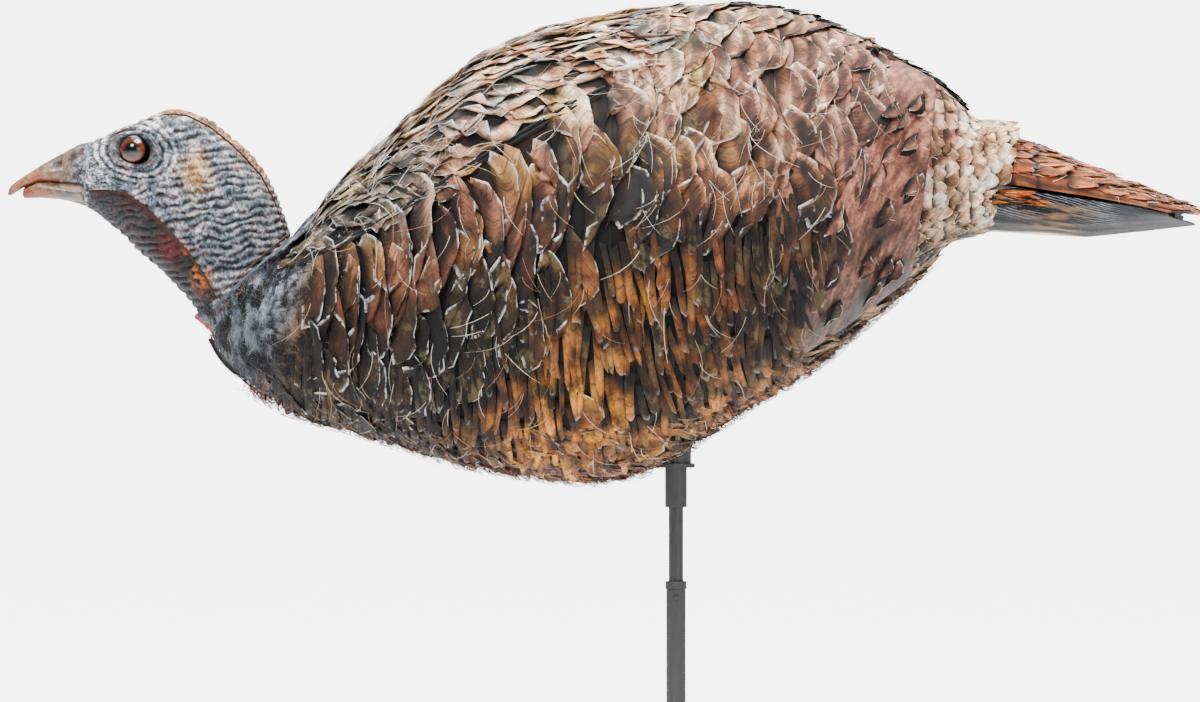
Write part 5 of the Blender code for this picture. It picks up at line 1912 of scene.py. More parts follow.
    def cape_colours(
        self, share: np.ndarray, angle: np.ndarray, point: np.ndarray, luck: np.ndarray
    ) -> np.ndarray:
        """Grey and blue-black mottle, browner to the rear, with a red patch in front.

        Args:
            share: Shares of the skin's length.
            angle: Angles from the top.
            point: The same places in space.
            luck: 0 to 1 for each flap.

        Returns:
            One colour for each place.
        """
        turn = from_top(angle)
        combed = point * np.array([120.0, 90.0, 45.0])
        blot = self.print.ripple.layered(combed, 4, 0.8) + 0.5 * self.print.ripple.layered(point * 38.0, 2)
        tone = np.clip(0.40 + 1.2 * blot, 0.0, 1.0)
        mottle = mixed(dye(Dye.INK) * 1.2, dye(Dye.STEEL) * 0.7, np.clip(tone * 2, 0, 1))
        mottle = mixed(mottle, dye(Dye.FROST) * 0.85, np.clip(tone * 2.4 - 1.45, 0, 0.8))
        brown = mixed(dye(Dye.INK), dye(Dye.TAN) * 0.55, tone)
        mottle = mixed(mottle, brown, 0.9 * rise(0.062, 0.100, share))
        mottle = mottle * (0.85 - 0.45 * rise(deg(95), deg(140), turn))[..., None]
        red = 0.9 * (1.0 - rise(0.006, 0.022, share)) * rise(deg(158), deg(168), turn)
        return mixed(mottle, dye(Dye.BLOOD) * 0.8, red)

    def seam_line(self, shares: np.ndarray, angles: np.ndarray, lift: float) -> tuple[np.ndarray, np.ndarray]:
        """Points and outward directions along a seam.

        Args:
            shares: Shares of the body's length.
            angles: Angles from the top.
            lift: Height above the skin.

        Returns:
            The points and the directions.
        """
        point, normal, _, _ = self.skin.at(shares, angles)
        return point + normal * lift, normal

    def seams(self) -> None:
        """Side seams to the star, the spine's dark stripe, and the cape's piping."""
        cloth, piping = Cloth(), Cloth()
        for side in (-1.0, 1.0):
            share = np.linspace(0.07, self.star, 160)
            line, out = self.seam_line(share, side * self.seam(share), 0.0022)
            tube_along(cloth, line, out, radius=0.0015, tint=dye(Dye.INK) * 0.8, beads=0.3)
            line, out = self.seam_line(share, side * (self.seam(share) + 0.026), 0.0022)
            tube_along(cloth, line, out, radius=0.0010, tint=dye(Dye.INK), beads=0.2)
            share = np.linspace(0.015, self.cape_split, 60)
            line, out = self.seam_line(share, side * np.linspace(deg(172), deg(165), 60), 0.0030)
            tube_along(piping, line, out, radius=0.0013, tint=dye(Dye.INK) * 1.2, beads=0.2)
        self.put(cloth, "seam_welts", self.thread_finish, "back_print")
        self.put(piping, "cape_piping", self.thread_finish, "cape_print", Follow.COLLAR)
        lay = in_rings(
            self.draw, shares=(0.66, 0.955), angles=(0.0, deg(8)), ring_step=0.016, item_step=0.06,
            heading=deg(0), jitter=0.1,
        )
        kind = Flap(
            length=0.018, width=0.016, lift=0.0026, edge=Edge.SCALLOP, base=0.0030, fray=0.6, shade=0.9
        )
        bed = self.bed
        self.bed = Bed(self.skin, self.stripe_colours, self.draw)
        self.field("spine_stripe", lay, kind, "saddle_print")
        self.bed = bed

    def stripe_colours(
        self, share: np.ndarray, angle: np.ndarray, point: np.ndarray, luck: np.ndarray
    ) -> np.ndarray:
        """Dark teal and black of the stripe down the spine; see Print.at."""
        return mixed(dye(Dye.INK), dye(Dye.TEAL) * 1.8, luck * np.ones_like(share))

    def build(self) -> None:
        """Build every part of the body's cover."""
        self.start()
        covers = (self.base, self.back, self.wings, self.strips, self.belly, self.saddle)
        for step in (*covers, self.satin, self.rump, self.cape, self.seams):
            step()


# ---------------------------------------------------------------------------------------------
# Head
# ---------------------------------------------------------------------------------------------
def in_neck(out: np.ndarray, across: np.ndarray, on: np.ndarray) -> np.ndarray:
    """Points from the neck's frame: back of the neck, across, and up along it."""
    parts = [part[..., None] for part in np.broadcast_arrays(out, across, on)]
    return COLLAR + parts[0] * NECK_BACK + parts[1] * ACROSS + parts[2] * NECK


@dataclass
class HeadCover:
    """Sewn head: crown strip, two faces and throat, with eyes, lids, beak, seams and a collar fringe."""

    stations: tuple[float, ...] = (0.0, 0.14, 0.28, 0.42, 0.56, 0.70, 0.81, 0.90, 1.0)
    back_at: tuple[float, ...] = (0.0, 0.0072, 0.0105, 0.0098, 0.0073, 0.0005, -0.0125, -0.0254, -0.0358)
    up_at: tuple[float, ...] = (0.0006, 0.0225, 0.0452, 0.069, 0.0917, 0.1127, 0.1235, 0.1312, 0.1357)
    lean_stations: tuple[float, ...] = (0.0, 0.14, 0.42, 0.70, 0.81, 0.90, 1.0)
    lean_at: tuple[float, ...] = (0.0, 4.0, 7.5, 17.0, 21.0, 32.0, 48.0)
    crown_edge: float = deg(15.0)
    throat_edge: float = deg(130.0)
    eye_radius: float = 0.011
    ear_from_eye: tuple[float, float] = (0.044, -0.016)
    ear_size: tuple[float, float] = (0.0085, 0.0125)
    lid_long: float = 0.0128
    lid_tall: float = 0.0096
    muzzle_reach: float = 0.021
    mouth_gap: float = 0.0026
    blunt: float = 0.0014
    rows: int = 190
    columns: int = 150
    seed: int = 83

    def centre(self, share: np.ndarray) -> np.ndarray:
        """Middle line from the collar up the neck and forward to the face."""
        out = np.interp(share, self.stations, self.back_at)
        return in_neck(out, np.zeros_like(out), np.interp(share, self.stations, self.up_at))

    def upward(self, share: np.ndarray) -> np.ndarray:
        """Sections turn from the collar's plane to the face's."""
        lean = np.radians(np.interp(share, self.lean_stations, self.lean_at))
        return NECK_BACK * np.cos(lean)[:, None] + NECK * np.sin(lean)[:, None]

    def eye_at(self, side: float) -> np.ndarray:
        """Middle of an eye."""
        low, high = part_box("eye_left" if side < 0 else "eye_right")
        return np.array((low + high) / 2)

    def start(self) -> None:
        """Measure the head's skin."""
        nodes = ["crown_strip", "face_left", "face_right", "throat_panel"]
        self.skin = measured_skin(
            nodes, self.centre, self.upward, rows=120, columns=144, thickness=0.0022, blur=3
        )
        self.ripple = Ripple(self.seed)
        self.draw = np.random.default_rng(self.seed)
        self.skin_finish = PaintedFinish(
            "printed_head_cloth", roughness=0.62, blotch=420.0, contrast=0.8, sheen=0.12, relief=0.0004
        ).material()
        self.thread_finish = PaintedFinish("head_thread", roughness=0.7, weave=False).material()
        self.horn = PaintedFinish(
            "beak_horn_moulding", roughness=0.42, blotch=300.0, contrast=0.6, sheen=0.0, coat=0.15,
            relief=0.00012, weave=False,
        ).material()
        self.glass = PaintedFinish(
            "glass_eye", roughness=0.16, blotch=600.0, contrast=0.35, sheen=0.0, coat=0.22, relief=0.00001,
            weave=False,
        ).material()

    def eye_distance(self, point: np.ndarray) -> np.ndarray:
        """Distance from the nearer eye, in lid openings.

        Args:
            point: Places on the head.

        Returns:
            One distance for each; 1 is the edge of the lid.
        """
        side = np.where(point[..., 1] < 0, -1.0, 1.0)
        away = point - self.eye_at(-1.0) * np.array([1.0, 0.0, 1.0])
        away = away - np.stack([0 * side, side * abs(self.eye_at(-1.0)[1]), 0 * side], -1)
        ahead, up = away[..., 0], away[..., 2] + 0.12 * away[..., 0]
        far = np.sqrt((ahead / self.lid_long) ** 2 + (up / self.lid_tall) ** 2)
        return np.where(np.abs(away[..., 1]) > 0.03, 5.0, far)

    def grooves(self, share: np.ndarray, point: np.ndarray) -> np.ndarray:
        """Wavy grooves across the neck and concentric ones round the eye.

        Args:
            share: Shares of the head's length.
            point: The same places in space.

        Returns:
            0 on a ridge to 1 in a groove.
        """
        far = self.eye_distance(point)
        warp = self.ripple.layered(point * 55.0, 3)
        across = point @ np.array([-160.0, 0.0, 1080.0]) + warp * 4.2
        neck = 0.5 + 0.5 * np.sin(across)
        rings = 0.5 + 0.5 * np.sin(far * 13.0 + warp * 1.6)
        near_eye = 1.0 - rise(2.1, 3.0, far)
        upper = rise(0.62, 0.78, share)
        flecks = 0.5 + 0.5 * np.sin(across * 1.9 + 5.0 * warp)
        plain = neck * (1 - upper) + flecks * upper * 0.7
        breaks = rise(-0.25, 0.25, self.ripple.at(point * 170.0))
        return np.clip((plain * (1 - near_eye) + rings * near_eye) ** 1.5 * (0.5 + 0.5 * breaks), 0.0, 1.0)

    def relief(self, share: np.ndarray, angle: np.ndarray, point: np.ndarray) -> np.ndarray:
        """Wrinkles of the skin, lids round the eye and a hollow for the ear.

        Args:
            share: Shares of the head's length.
            angle: Angles from the crown.
            point: The same places in space.

        Returns:
            Heights above the skin.
        """
        far = self.eye_distance(point)
        lid = spot(far, 1.16, 0.15) * 0.0023
        hollow = -0.0085 * (1.0 - rise(0.84, 1.04, far))
        swell = 0.0012 * self.ripple.at(point * 45.0) * (1.0 - rise(0.8, 1.0, share))
        open_skin = rise(1.2, 1.5, far)
        wrinkle = 0.0021 * self.grooves(share, point) * open_skin
        return 0.0012 + swell - wrinkle + lid + hollow - 0.002 * self.ear(point)

    def ear(self, point: np.ndarray) -> np.ndarray:
        """The ear patch behind the eye.

        Args:
            point: Places on the head.

        Returns:
            0 off the patch to 1 in its middle.
        """
        eye = self.eye_at(-1.0)
        ahead, up = point[..., 0] - eye[0], point[..., 2] - eye[2]
        ahead = (ahead - self.ear_from_eye[0]) / self.ear_size[0]
        up = (up - self.ear_from_eye[1]) / self.ear_size[1]
        return np.exp(-(ahead**2 + up**2))

    def colours(
        self, share: np.ndarray, angle: np.ndarray, point: np.ndarray, luck: np.ndarray
    ) -> np.ndarray:
        """Painted skin: pale ridges, dark teal grooves, tan ear and nape, dark throat.

        Args:
            share: Shares of the skin's length.
            angle: Angles from the top.
            point: The same places in space.
            luck: 0 to 1 for each flap.

        Returns:
            One colour for each place.
        """
        turn = from_top(angle)
        far = self.eye_distance(point)
        tone = self.ripple.layered(point * 95.0 + 9.0, 4, 0.6)
        fine = self.ripple.layered(point * 520.0 + 4.0, 2, 0.8)
        upper = rise(0.60, 0.95, share)
        ridge = 0.86 - self.grooves(share, point) * 1.15 + 0.75 * fine + 0.30 * tone
        pale = mixed(dye(Dye.FROST) * 0.72, dye(Dye.CHALK) * 0.9, np.clip(upper + tone, 0, 1))
        deep = mixed(dye(Dye.INK) * 0.9, dye(Dye.STEEL) * 0.30, np.clip(upper * 0.7 + tone, 0, 1))
        skin = mixed(deep, dye(Dye.STEEL) * 0.72, np.clip(ridge * 1.7, 0, 1))
        skin = mixed(skin, pale, np.clip(ridge * 2.2 - 1.45 + 0.25 * upper, 0, 1))
        skin = mixed(skin, dye(Dye.ROSE) * 0.6, 0.22 * spot(tone, 0.3, 0.2))
        skin = mixed(skin, dye(Dye.TEAL), 0.45 * spot(tone, -0.35, 0.2))
        skin = skin * (1.0 - 0.35 * (1.0 - rise(0.1, 0.5, share)))[..., None]
        ear_tone = mixed(dye(Dye.TAN) * 0.5, dye(Dye.SAND), np.clip(0.45 + 1.2 * fine + tone, 0, 1))
        skin = mixed(skin, ear_tone, np.clip(self.ear(point) * 1.2 + 0.4 * fine * self.ear(point), 0, 0.9))
        nape = rise(deg(22), deg(10), turn + 0.12 * tone) * rise(0.16, 0.3, share)
        nape = nape * (1.0 - rise(0.74, 0.86, share))
        bronze = mixed(dye(Dye.OLIVE) * 0.3, dye(Dye.ORANGE) * 0.65, np.clip(0.5 + tone + 0.9 * fine, 0, 1))
        bronze = mixed(bronze, dye(Dye.SAND), np.clip(1.4 * fine, 0, 0.7))
        skin = mixed(skin, bronze, nape * np.clip(0.85 + 0.8 * fine, 0, 1))
        skin = self.throat_colours(skin, share, turn, ridge, tone, fine)
        jaw = spot(turn, self.throat_edge, 0.05) * rise(0.3, 0.5, share)
        skin = mixed(skin, dye(Dye.UMBER), jaw * 0.7)
        skin = mixed(skin, dye(Dye.INK), np.clip(1.0 - rise(0.98, 1.12, far), 0, 1))
        return mixed(skin, dye(Dye.INK), 0.75 * spot(far, 1.36, 0.10))

    def throat_colours(
        self,
        skin: np.ndarray,
        share: np.ndarray,
        turn: np.ndarray,
        ridge: np.ndarray,
        tone: np.ndarray,
        fine: np.ndarray,
    ) -> np.ndarray:
        """Dark throat with an orange patch and a red one.

        Args:
            skin: Colours of the rest of the head.
            share: Shares of the head's length.
            turn: Angles from the crown, on either side.
            ridge: 0 in a groove to 1 on a ridge.
            tone: Broad blotches.
            fine: Fine specks.

        Returns:
            The colours with the throat in.
        """
        throat = rise(self.throat_edge - 0.06, self.throat_edge + 0.03, turn)
        throat = throat * (1.0 - rise(0.90, 0.99, share))
        lit = 0.55 * ridge + 0.45 * rise(deg(148), deg(172), turn) - 0.10
        lit = lit - 0.3 * spot(turn, self.throat_edge + 0.12, 0.12)
        dark = mixed(dye(Dye.INK) * 0.5, dye(Dye.STEEL) * 0.26, np.clip(lit, 0, 1))
        dark = mixed(dark, dye(Dye.BLOOD) * 0.18, 0.35 * spot(tone, 0.2, 0.15))
        skin = mixed(skin, dark, throat * 0.96)
        patch = spot(share, 0.20, 0.10) * spot(turn, deg(133), deg(12)) * rise(-0.25, 0.25, tone)
        orange = mixed(dye(Dye.UMBER), dye(Dye.ORANGE) * 0.8, np.clip(0.6 + fine, 0, 1))
        skin = mixed(skin, orange, np.clip(patch * 1.3, 0, 0.85))
        red = spot(share, 0.36, 0.06) * spot(turn, deg(143), deg(11)) * rise(-0.3, 0.2, fine)
        return mixed(skin, dye(Dye.BLOOD) * 0.22, np.clip(red * 1.2, 0, 0.85))

    def panels(self) -> None:
        """The four sewn panels."""
        plans = (
            ("crown_strip", -self.crown_edge, self.crown_edge, 60, "crown_print"),
            ("face_left", -self.throat_edge, -self.crown_edge, self.columns, "head_print"),
            ("face_right", self.crown_edge, self.throat_edge, self.columns, "head_print"),
            ("throat_panel", self.throat_edge, TURN - self.throat_edge, 90, "throat_print"),
        )
        gap = 0.004
        for name, low, high, columns, slot in plans:
            edges = (level(low + gap), level(high - gap))
            middle, half = (low + high) / 2, (high - low) / 2

            def relief(
                u: np.ndarray, a: np.ndarray, p: np.ndarray, m: float = middle, h: float = half
            ) -> np.ndarray:
                """The skin's relief, drawn in at the seams; u, a and p are shares, angles and places."""
                near = rise(h - 0.09, h, np.abs(a - m))
                return self.relief(u, a, p) * (1 - near) - 0.0010 * near

            cloth = Cloth()
            skin_sheet(cloth, self.skin, (0.0, 1.0), edges, (self.rows, columns), self.colours, relief)
            made = cloth.piece(name + "_cloth", self.skin_finish, slot, HEAD)
            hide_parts(name)
            Plumage.declare(made, cloth, "head_core")

    def seams(self) -> None:
        """Sunken welts along the crown strip and throat, and the fringed hem at the collar."""
        cloth = Cloth()
        for angle in (-self.crown_edge, self.crown_edge, -self.throat_edge, self.throat_edge):
            share = np.linspace(0.01, 0.985, 220)
            point, normal, _, _ = self.skin.at(share, np.full(220, angle))
            tint = dye(Dye.UMBER) * (1.0 if abs(angle) < 1 else 0.8)
            tube_along(cloth, point - normal * 0.0004, normal, radius=0.0009, tint=tint, beads=0.35)
        turn = np.linspace(-math.pi, math.pi, 260)
        for share, radius, tint in ((0.010, 0.0013, dye(Dye.STEEL) * 0.45), (0.034, 0.0007, dye(Dye.UMBER))):
            point, normal, _, _ = self.skin.at(np.full(260, share), turn)
            tube_along(cloth, point + normal * 0.0008, normal, radius=radius, tint=tint, beads=0.5)
        cloth.piece("head_seam_welts", self.thread_finish, "head_print", HEAD)
        bed = Bed(self.skin, self.colours, self.draw)
        count = 900
        lay = Layout(
            self.draw.uniform(-0.02, 0.02, count),
            self.draw.uniform(-math.pi, math.pi, count),
            math.pi + 0.3 * self.draw.normal(size=count),
        )
        fringe = Cloth()
        tints = [dye(Dye.TAN) * 0.4, dye(Dye.STEEL) * 0.7, dye(Dye.STEEL) * 0.4, dye(Dye.INK)]
        bed.threads(
            fringe, lay, length=0.0042, lift=0.0010, radius=0.00018, tints=tints, sprawl=0.5, start=0.0008
        )
        fringe.piece("collar_fringe", self.thread_finish, "crown_print", HEAD)

    def muzzle(self) -> None:
        """Soft skin that runs from the face on to the beak, with the corners of the mouth."""
        rows, columns = 44, 144
        turn = turns(columns)
        face, _, _, _ = self.skin.at(np.full(columns, 0.965), turn)
        middle = (face[0] + face[columns // 2]) / 2
        tall = (face[0] - face[columns // 2]) / 2
        ahead = unit(np.cross(tall, ACROSS))
        ahead = ahead * (-1.0 if ahead[0] > 0 else 1.0)
        step = np.linspace(0.0, 1.0, rows)[:, None]
        away = face - middle
        up, side = away @ unit(tall), away @ ACROSS
        flat, narrow = 1.0 - 0.34 * step**1.6, 1.0 + 0.02 * step - 0.42 * step**1.25
        onward = ahead * (self.muzzle_reach * step)[..., None]
        points = (
            middle
            + onward
            + unit(tall) * (up[None] * flat - 0.0022 * step**2)[..., None]
            + ACROSS * (side[None] * narrow)[..., None]
        )
        height = (up / np.linalg.norm(tall))[None] * np.ones((rows, 1))
        tone = self.ripple.layered(points * 150.0, 3)
        mouth = spot(height, -0.36 - 0.10 * step, 0.055) * rise(0.10, 0.42, step)
        mouth = mouth * (np.abs(np.sin(turn))[None] > 0.3)
        lip = spot(height, -0.52 - 0.08 * step, 0.10) * rise(0.0, 0.5, step)
        nostril = spot(step, 0.66, 0.13) * spot(height, 0.60, 0.16)
        fine = self.ripple.layered(points * 520.0 + 4.0, 2, 0.8)
        ridge = 0.75 + 0.8 * fine + 0.5 * tone
        skin = mixed(dye(Dye.INK), dye(Dye.STEEL) * 0.6, np.clip(ridge * 1.1 - 0.2, 0, 1))
        skin = mixed(skin, dye(Dye.FROST) * 0.7, np.clip(ridge * 1.8 - 1.3, 0, 0.9) * (1 - 0.5 * step))
        skin = mixed(skin, dye(Dye.TAN) * 0.42, np.clip(0.75 * step**1.4 + 0.3 * tone, 0, 0.75))
        skin = mixed(skin, dye(Dye.SAND) * 0.8, lip * 0.6)
        skin = mixed(skin, dye(Dye.INK) * 1.6, np.clip(1.6 * nostril * (0.8 + fine), 0, 0.92))
        skin = mixed(skin, dye(Dye.UMBER) * 0.5, np.clip(mouth * 1.4, 0, 0.95))
        under = rise(-0.72, -0.95, height) * (1 - 0.6 * step)
        skin = mixed(skin, dye(Dye.STEEL) * 0.35, under * 0.8).reshape(-1, 3)
        relief = 0.0005 * tone - 0.0016 * mouth + 0.0007 * lip - 0.0010 * nostril
        points = points + unit(points - middle - onward) * relief[..., None]
        inner = middle + onward + (points - middle - onward) * 0.93
        size = rows * columns
        quads = grid_quads(rows, columns, wrap=True)
        here = np.arange(columns)
        after = (here + 1) % columns
        front, rear = (
            np.stack([start + here, start + after, start + after + size, start + here + size], axis=1)
            for start in (0, size - columns)
        )
        cloth = Cloth()
        cloth.add(
            np.concatenate([points.reshape(-1, 3), inner.reshape(-1, 3)]),
            np.concatenate([quads, quads[:, ::-1] + size, front[:, ::-1], rear]),
            tint=np.concatenate([skin, skin * 0.4]),
        )
        cloth.piece("muzzle_skin", self.skin_finish, "head_print", HEAD)

    def eyes(self) -> None:
        """Glass eyes: pupil, iris and rim painted on a ball with a clear coat."""
        for side, word in ((-1.0, "left"), (1.0, "right")):
            middle = self.eye_at(side)
            rows, columns = 64, 64
            polar = np.linspace(0.0, math.pi, rows)[:, None] * np.ones((1, columns))
            turn = turns(columns)[None] * np.ones((rows, 1))
            axis = unit(np.array([-0.16, side, 0.04]))
            one = unit(np.cross(axis, UP))
            two = np.cross(one, axis)
            bulge = 1.0 + 0.06 * spot(polar, 0.0, 0.6)
            aside = one * np.cos(turn)[..., None] + two * np.sin(turn)[..., None]
            ray = axis * np.cos(polar)[..., None] + aside * np.sin(polar)[..., None]
            points = middle + ray * (self.eye_radius * bulge)[..., None]
            streak = 0.5 + 0.5 * np.sin(turn * 31 + 3 * np.sin(turn * 7))
            rust = rise(0.40, 0.80, polar) * (0.45 + 0.55 * streak)
            iris = mixed(dye(Dye.UMBER) * 0.5, dye(Dye.RUST) * 0.30, rust)
            tint = mixed(dye(Dye.INK) * 0.3, iris, rise(0.36, 0.50, polar))
            tint = mixed(tint, dye(Dye.INK) * 0.4, rise(0.86, 0.95, polar))
            cloth, poles = Cloth(), [0, -1]
            add_tube(cloth, points[1:-1], points[poles, 0], tint[1:-1], tint[poles, 0])
            made = cloth.piece(f"glass_eye_{word}", self.glass, "eye_glass", HEAD)
            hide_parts(f"eye_{word}")

    def beak_profile(self, name: str, share: np.ndarray) -> tuple[np.ndarray, ...]:
        """Read how one half of the beak lies and how tall it is.

        Args:
            name: The CAD node.
            share: Shares of its length, from the face to the tip.

        Returns:
            Its middle, its directions ahead and up, and the places, the roof and the floor along it.
        """
        points = np.array([vertex.co for vertex in frame["nodes"][name].data.vertices])
        middle = points.mean(0) * np.array([1.0, 0.0, 1.0])
        main = np.linalg.svd((points - middle)[:, [0, 2]], full_matrices=False)[2][0]
        ahead = np.array([main[0], 0.0, main[1]]) * (-1.0 if main[0] > 0 else 1.0)
        far = (points - middle) @ ahead
        lift = np.array([-ahead[2], 0.0, ahead[0]]) * (-1.0 if ahead[0] < 0 else 1.0)
        stations = np.linspace(far.min() + 0.0004, far.max() - 0.0004, 16)
        tree = tree_of([name])
        heights = []
        for station in stations:
            start = middle + ahead * station
            top = tree.ray_cast(Vector(start + lift * 0.05), Vector(-lift))[0]
            bottom = tree.ray_cast(Vector(start - lift * 0.05), Vector(lift))[0]
            found = [(Vector(hit) - Vector(start)).dot(Vector(lift)) if hit else 0.0 for hit in (top, bottom)]
            heights.append(found)
        at = far.min() + share * (far.max() - far.min())
        roof, floor = (np.interp(at, stations, np.array(heights)[:, side]) for side in (0, 1))
        if name == "lower_beak":
            return middle, ahead, lift, at, roof + self.mouth_gap * (1.0 - rise(0.75, 1.0, share)), floor
        roof = roof + 0.3 * self.blunt * rise(0.6, 0.95, share)
        return middle, ahead, lift, at, roof, floor - self.blunt * rise(0.45, 0.95, share)

    def horn_colours(self, upper: bool, share: np.ndarray, high: np.ndarray, point: np.ndarray) -> np.ndarray:
        """Grey skin at the beak's root that turns to tan and rusty horn.

        Args:
            upper: Whether this is the upper half.
            share: Shares of its length, as a column.
            high: 1 on its ridge to -1 below.
            point: Its points.

        Returns:
            One colour for each point.
        """
        tone = self.ripple.layered(point * 160.0, 3)
        ones = np.ones_like(tone)
        tan = np.clip(0.45 + 0.5 * high + 0.9 * tone, 0, 1)
        horn = mixed(dye(Dye.RUST) * 0.42, dye(Dye.SAND) * 0.42, tan)
        soft = mixed(dye(Dye.STEEL) * 0.30, dye(Dye.SAND) * 0.36, np.clip(0.5 + tone - 0.3 * high, 0, 1))
        base = mixed(soft, horn, rise(0.25, 0.62, share) * ones)
        stain = np.clip(0.7 * rise(0.15, 0.5, tone) + 0.35 * rise(0.9, 1.0, share), 0, 0.8)
        base = mixed(base, dye(Dye.UMBER) * 0.8, stain)
        if not upper:
            return base
        base = mixed(base, dye(Dye.INK), np.clip(self.nostril(share, high) * (high > 0), 0, 0.95))
        return mixed(base, dye(Dye.UMBER) * 0.5, 0.8 * rise(-0.62, -0.95, high) * ones)

    @staticmethod
    def nostril(share: np.ndarray, high: np.ndarray) -> np.ndarray:
        """The nostrils' pits, from 0 to 1; share and high as horn_colours takes them."""
        aside = np.sqrt(np.maximum(0.0, 1.0 - high**2))
        return np.exp(-(((share - 0.34) / 0.075) ** 2) - ((aside - 0.86) / 0.10) ** 2)

    def beak(self) -> None:
        """Moulded beak: hooked upper half with nostrils, and the lower half."""
        rows, columns = 90, 72
        share = np.linspace(0.0, 1.0, rows)
        cap = np.where(share > 0.5, np.sqrt(np.clip(np.minimum(share, 1 - share) / 0.03, 0.0, 1.0)), 1.0)
        turn = turns(columns)[None]
        for name in ("upper_beak", "lower_beak"):
            upper = name == "upper_beak"
            low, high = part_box(name)
            middle, ahead, lift, at, roof, floor = self.beak_profile(name, share)
            half = (high[1] - low[1]) / 2 * (1.0 - 0.72 * share**1.5)
            size = ((roof - floor) / 2 * cap)[:, None]
            up = (roof + floor)[:, None] / 2 + size * np.cos(turn) * (1.0 + 0.06 * np.cos(turn) ** 8)
            side = (half * cap)[:, None] * np.sin(turn) * (1 - 0.10 * np.cos(turn))
            if upper:
                side = side * (1.0 - 0.28 * self.nostril(share[:, None], np.cos(turn)) * (np.cos(turn) > 0))
            grown = 1.0 + 0.012 * np.sin(share * 60.0)[:, None] * (1 - share[:, None])
            placed = middle + ahead * at[:, None, None] + lift * up[..., None]
            placed = placed + ACROSS * (side * grown)[..., None]
            tint = self.horn_colours(upper, share[:, None], np.cos(turn), placed)
            cloth, tips = Cloth(), [0, -1]
            add_tube(cloth, placed, placed[tips].mean(1), tint, tint[tips].mean(1))
            made = cloth.piece(name + "_moulding", self.horn, "beak_horn", HEAD)
            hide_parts(name)

    def build(self) -> None:
        """Build the head."""
        self.start()
        self.panels()
        self.seams()
        self.muzzle()
        self.eyes()
        self.beak()


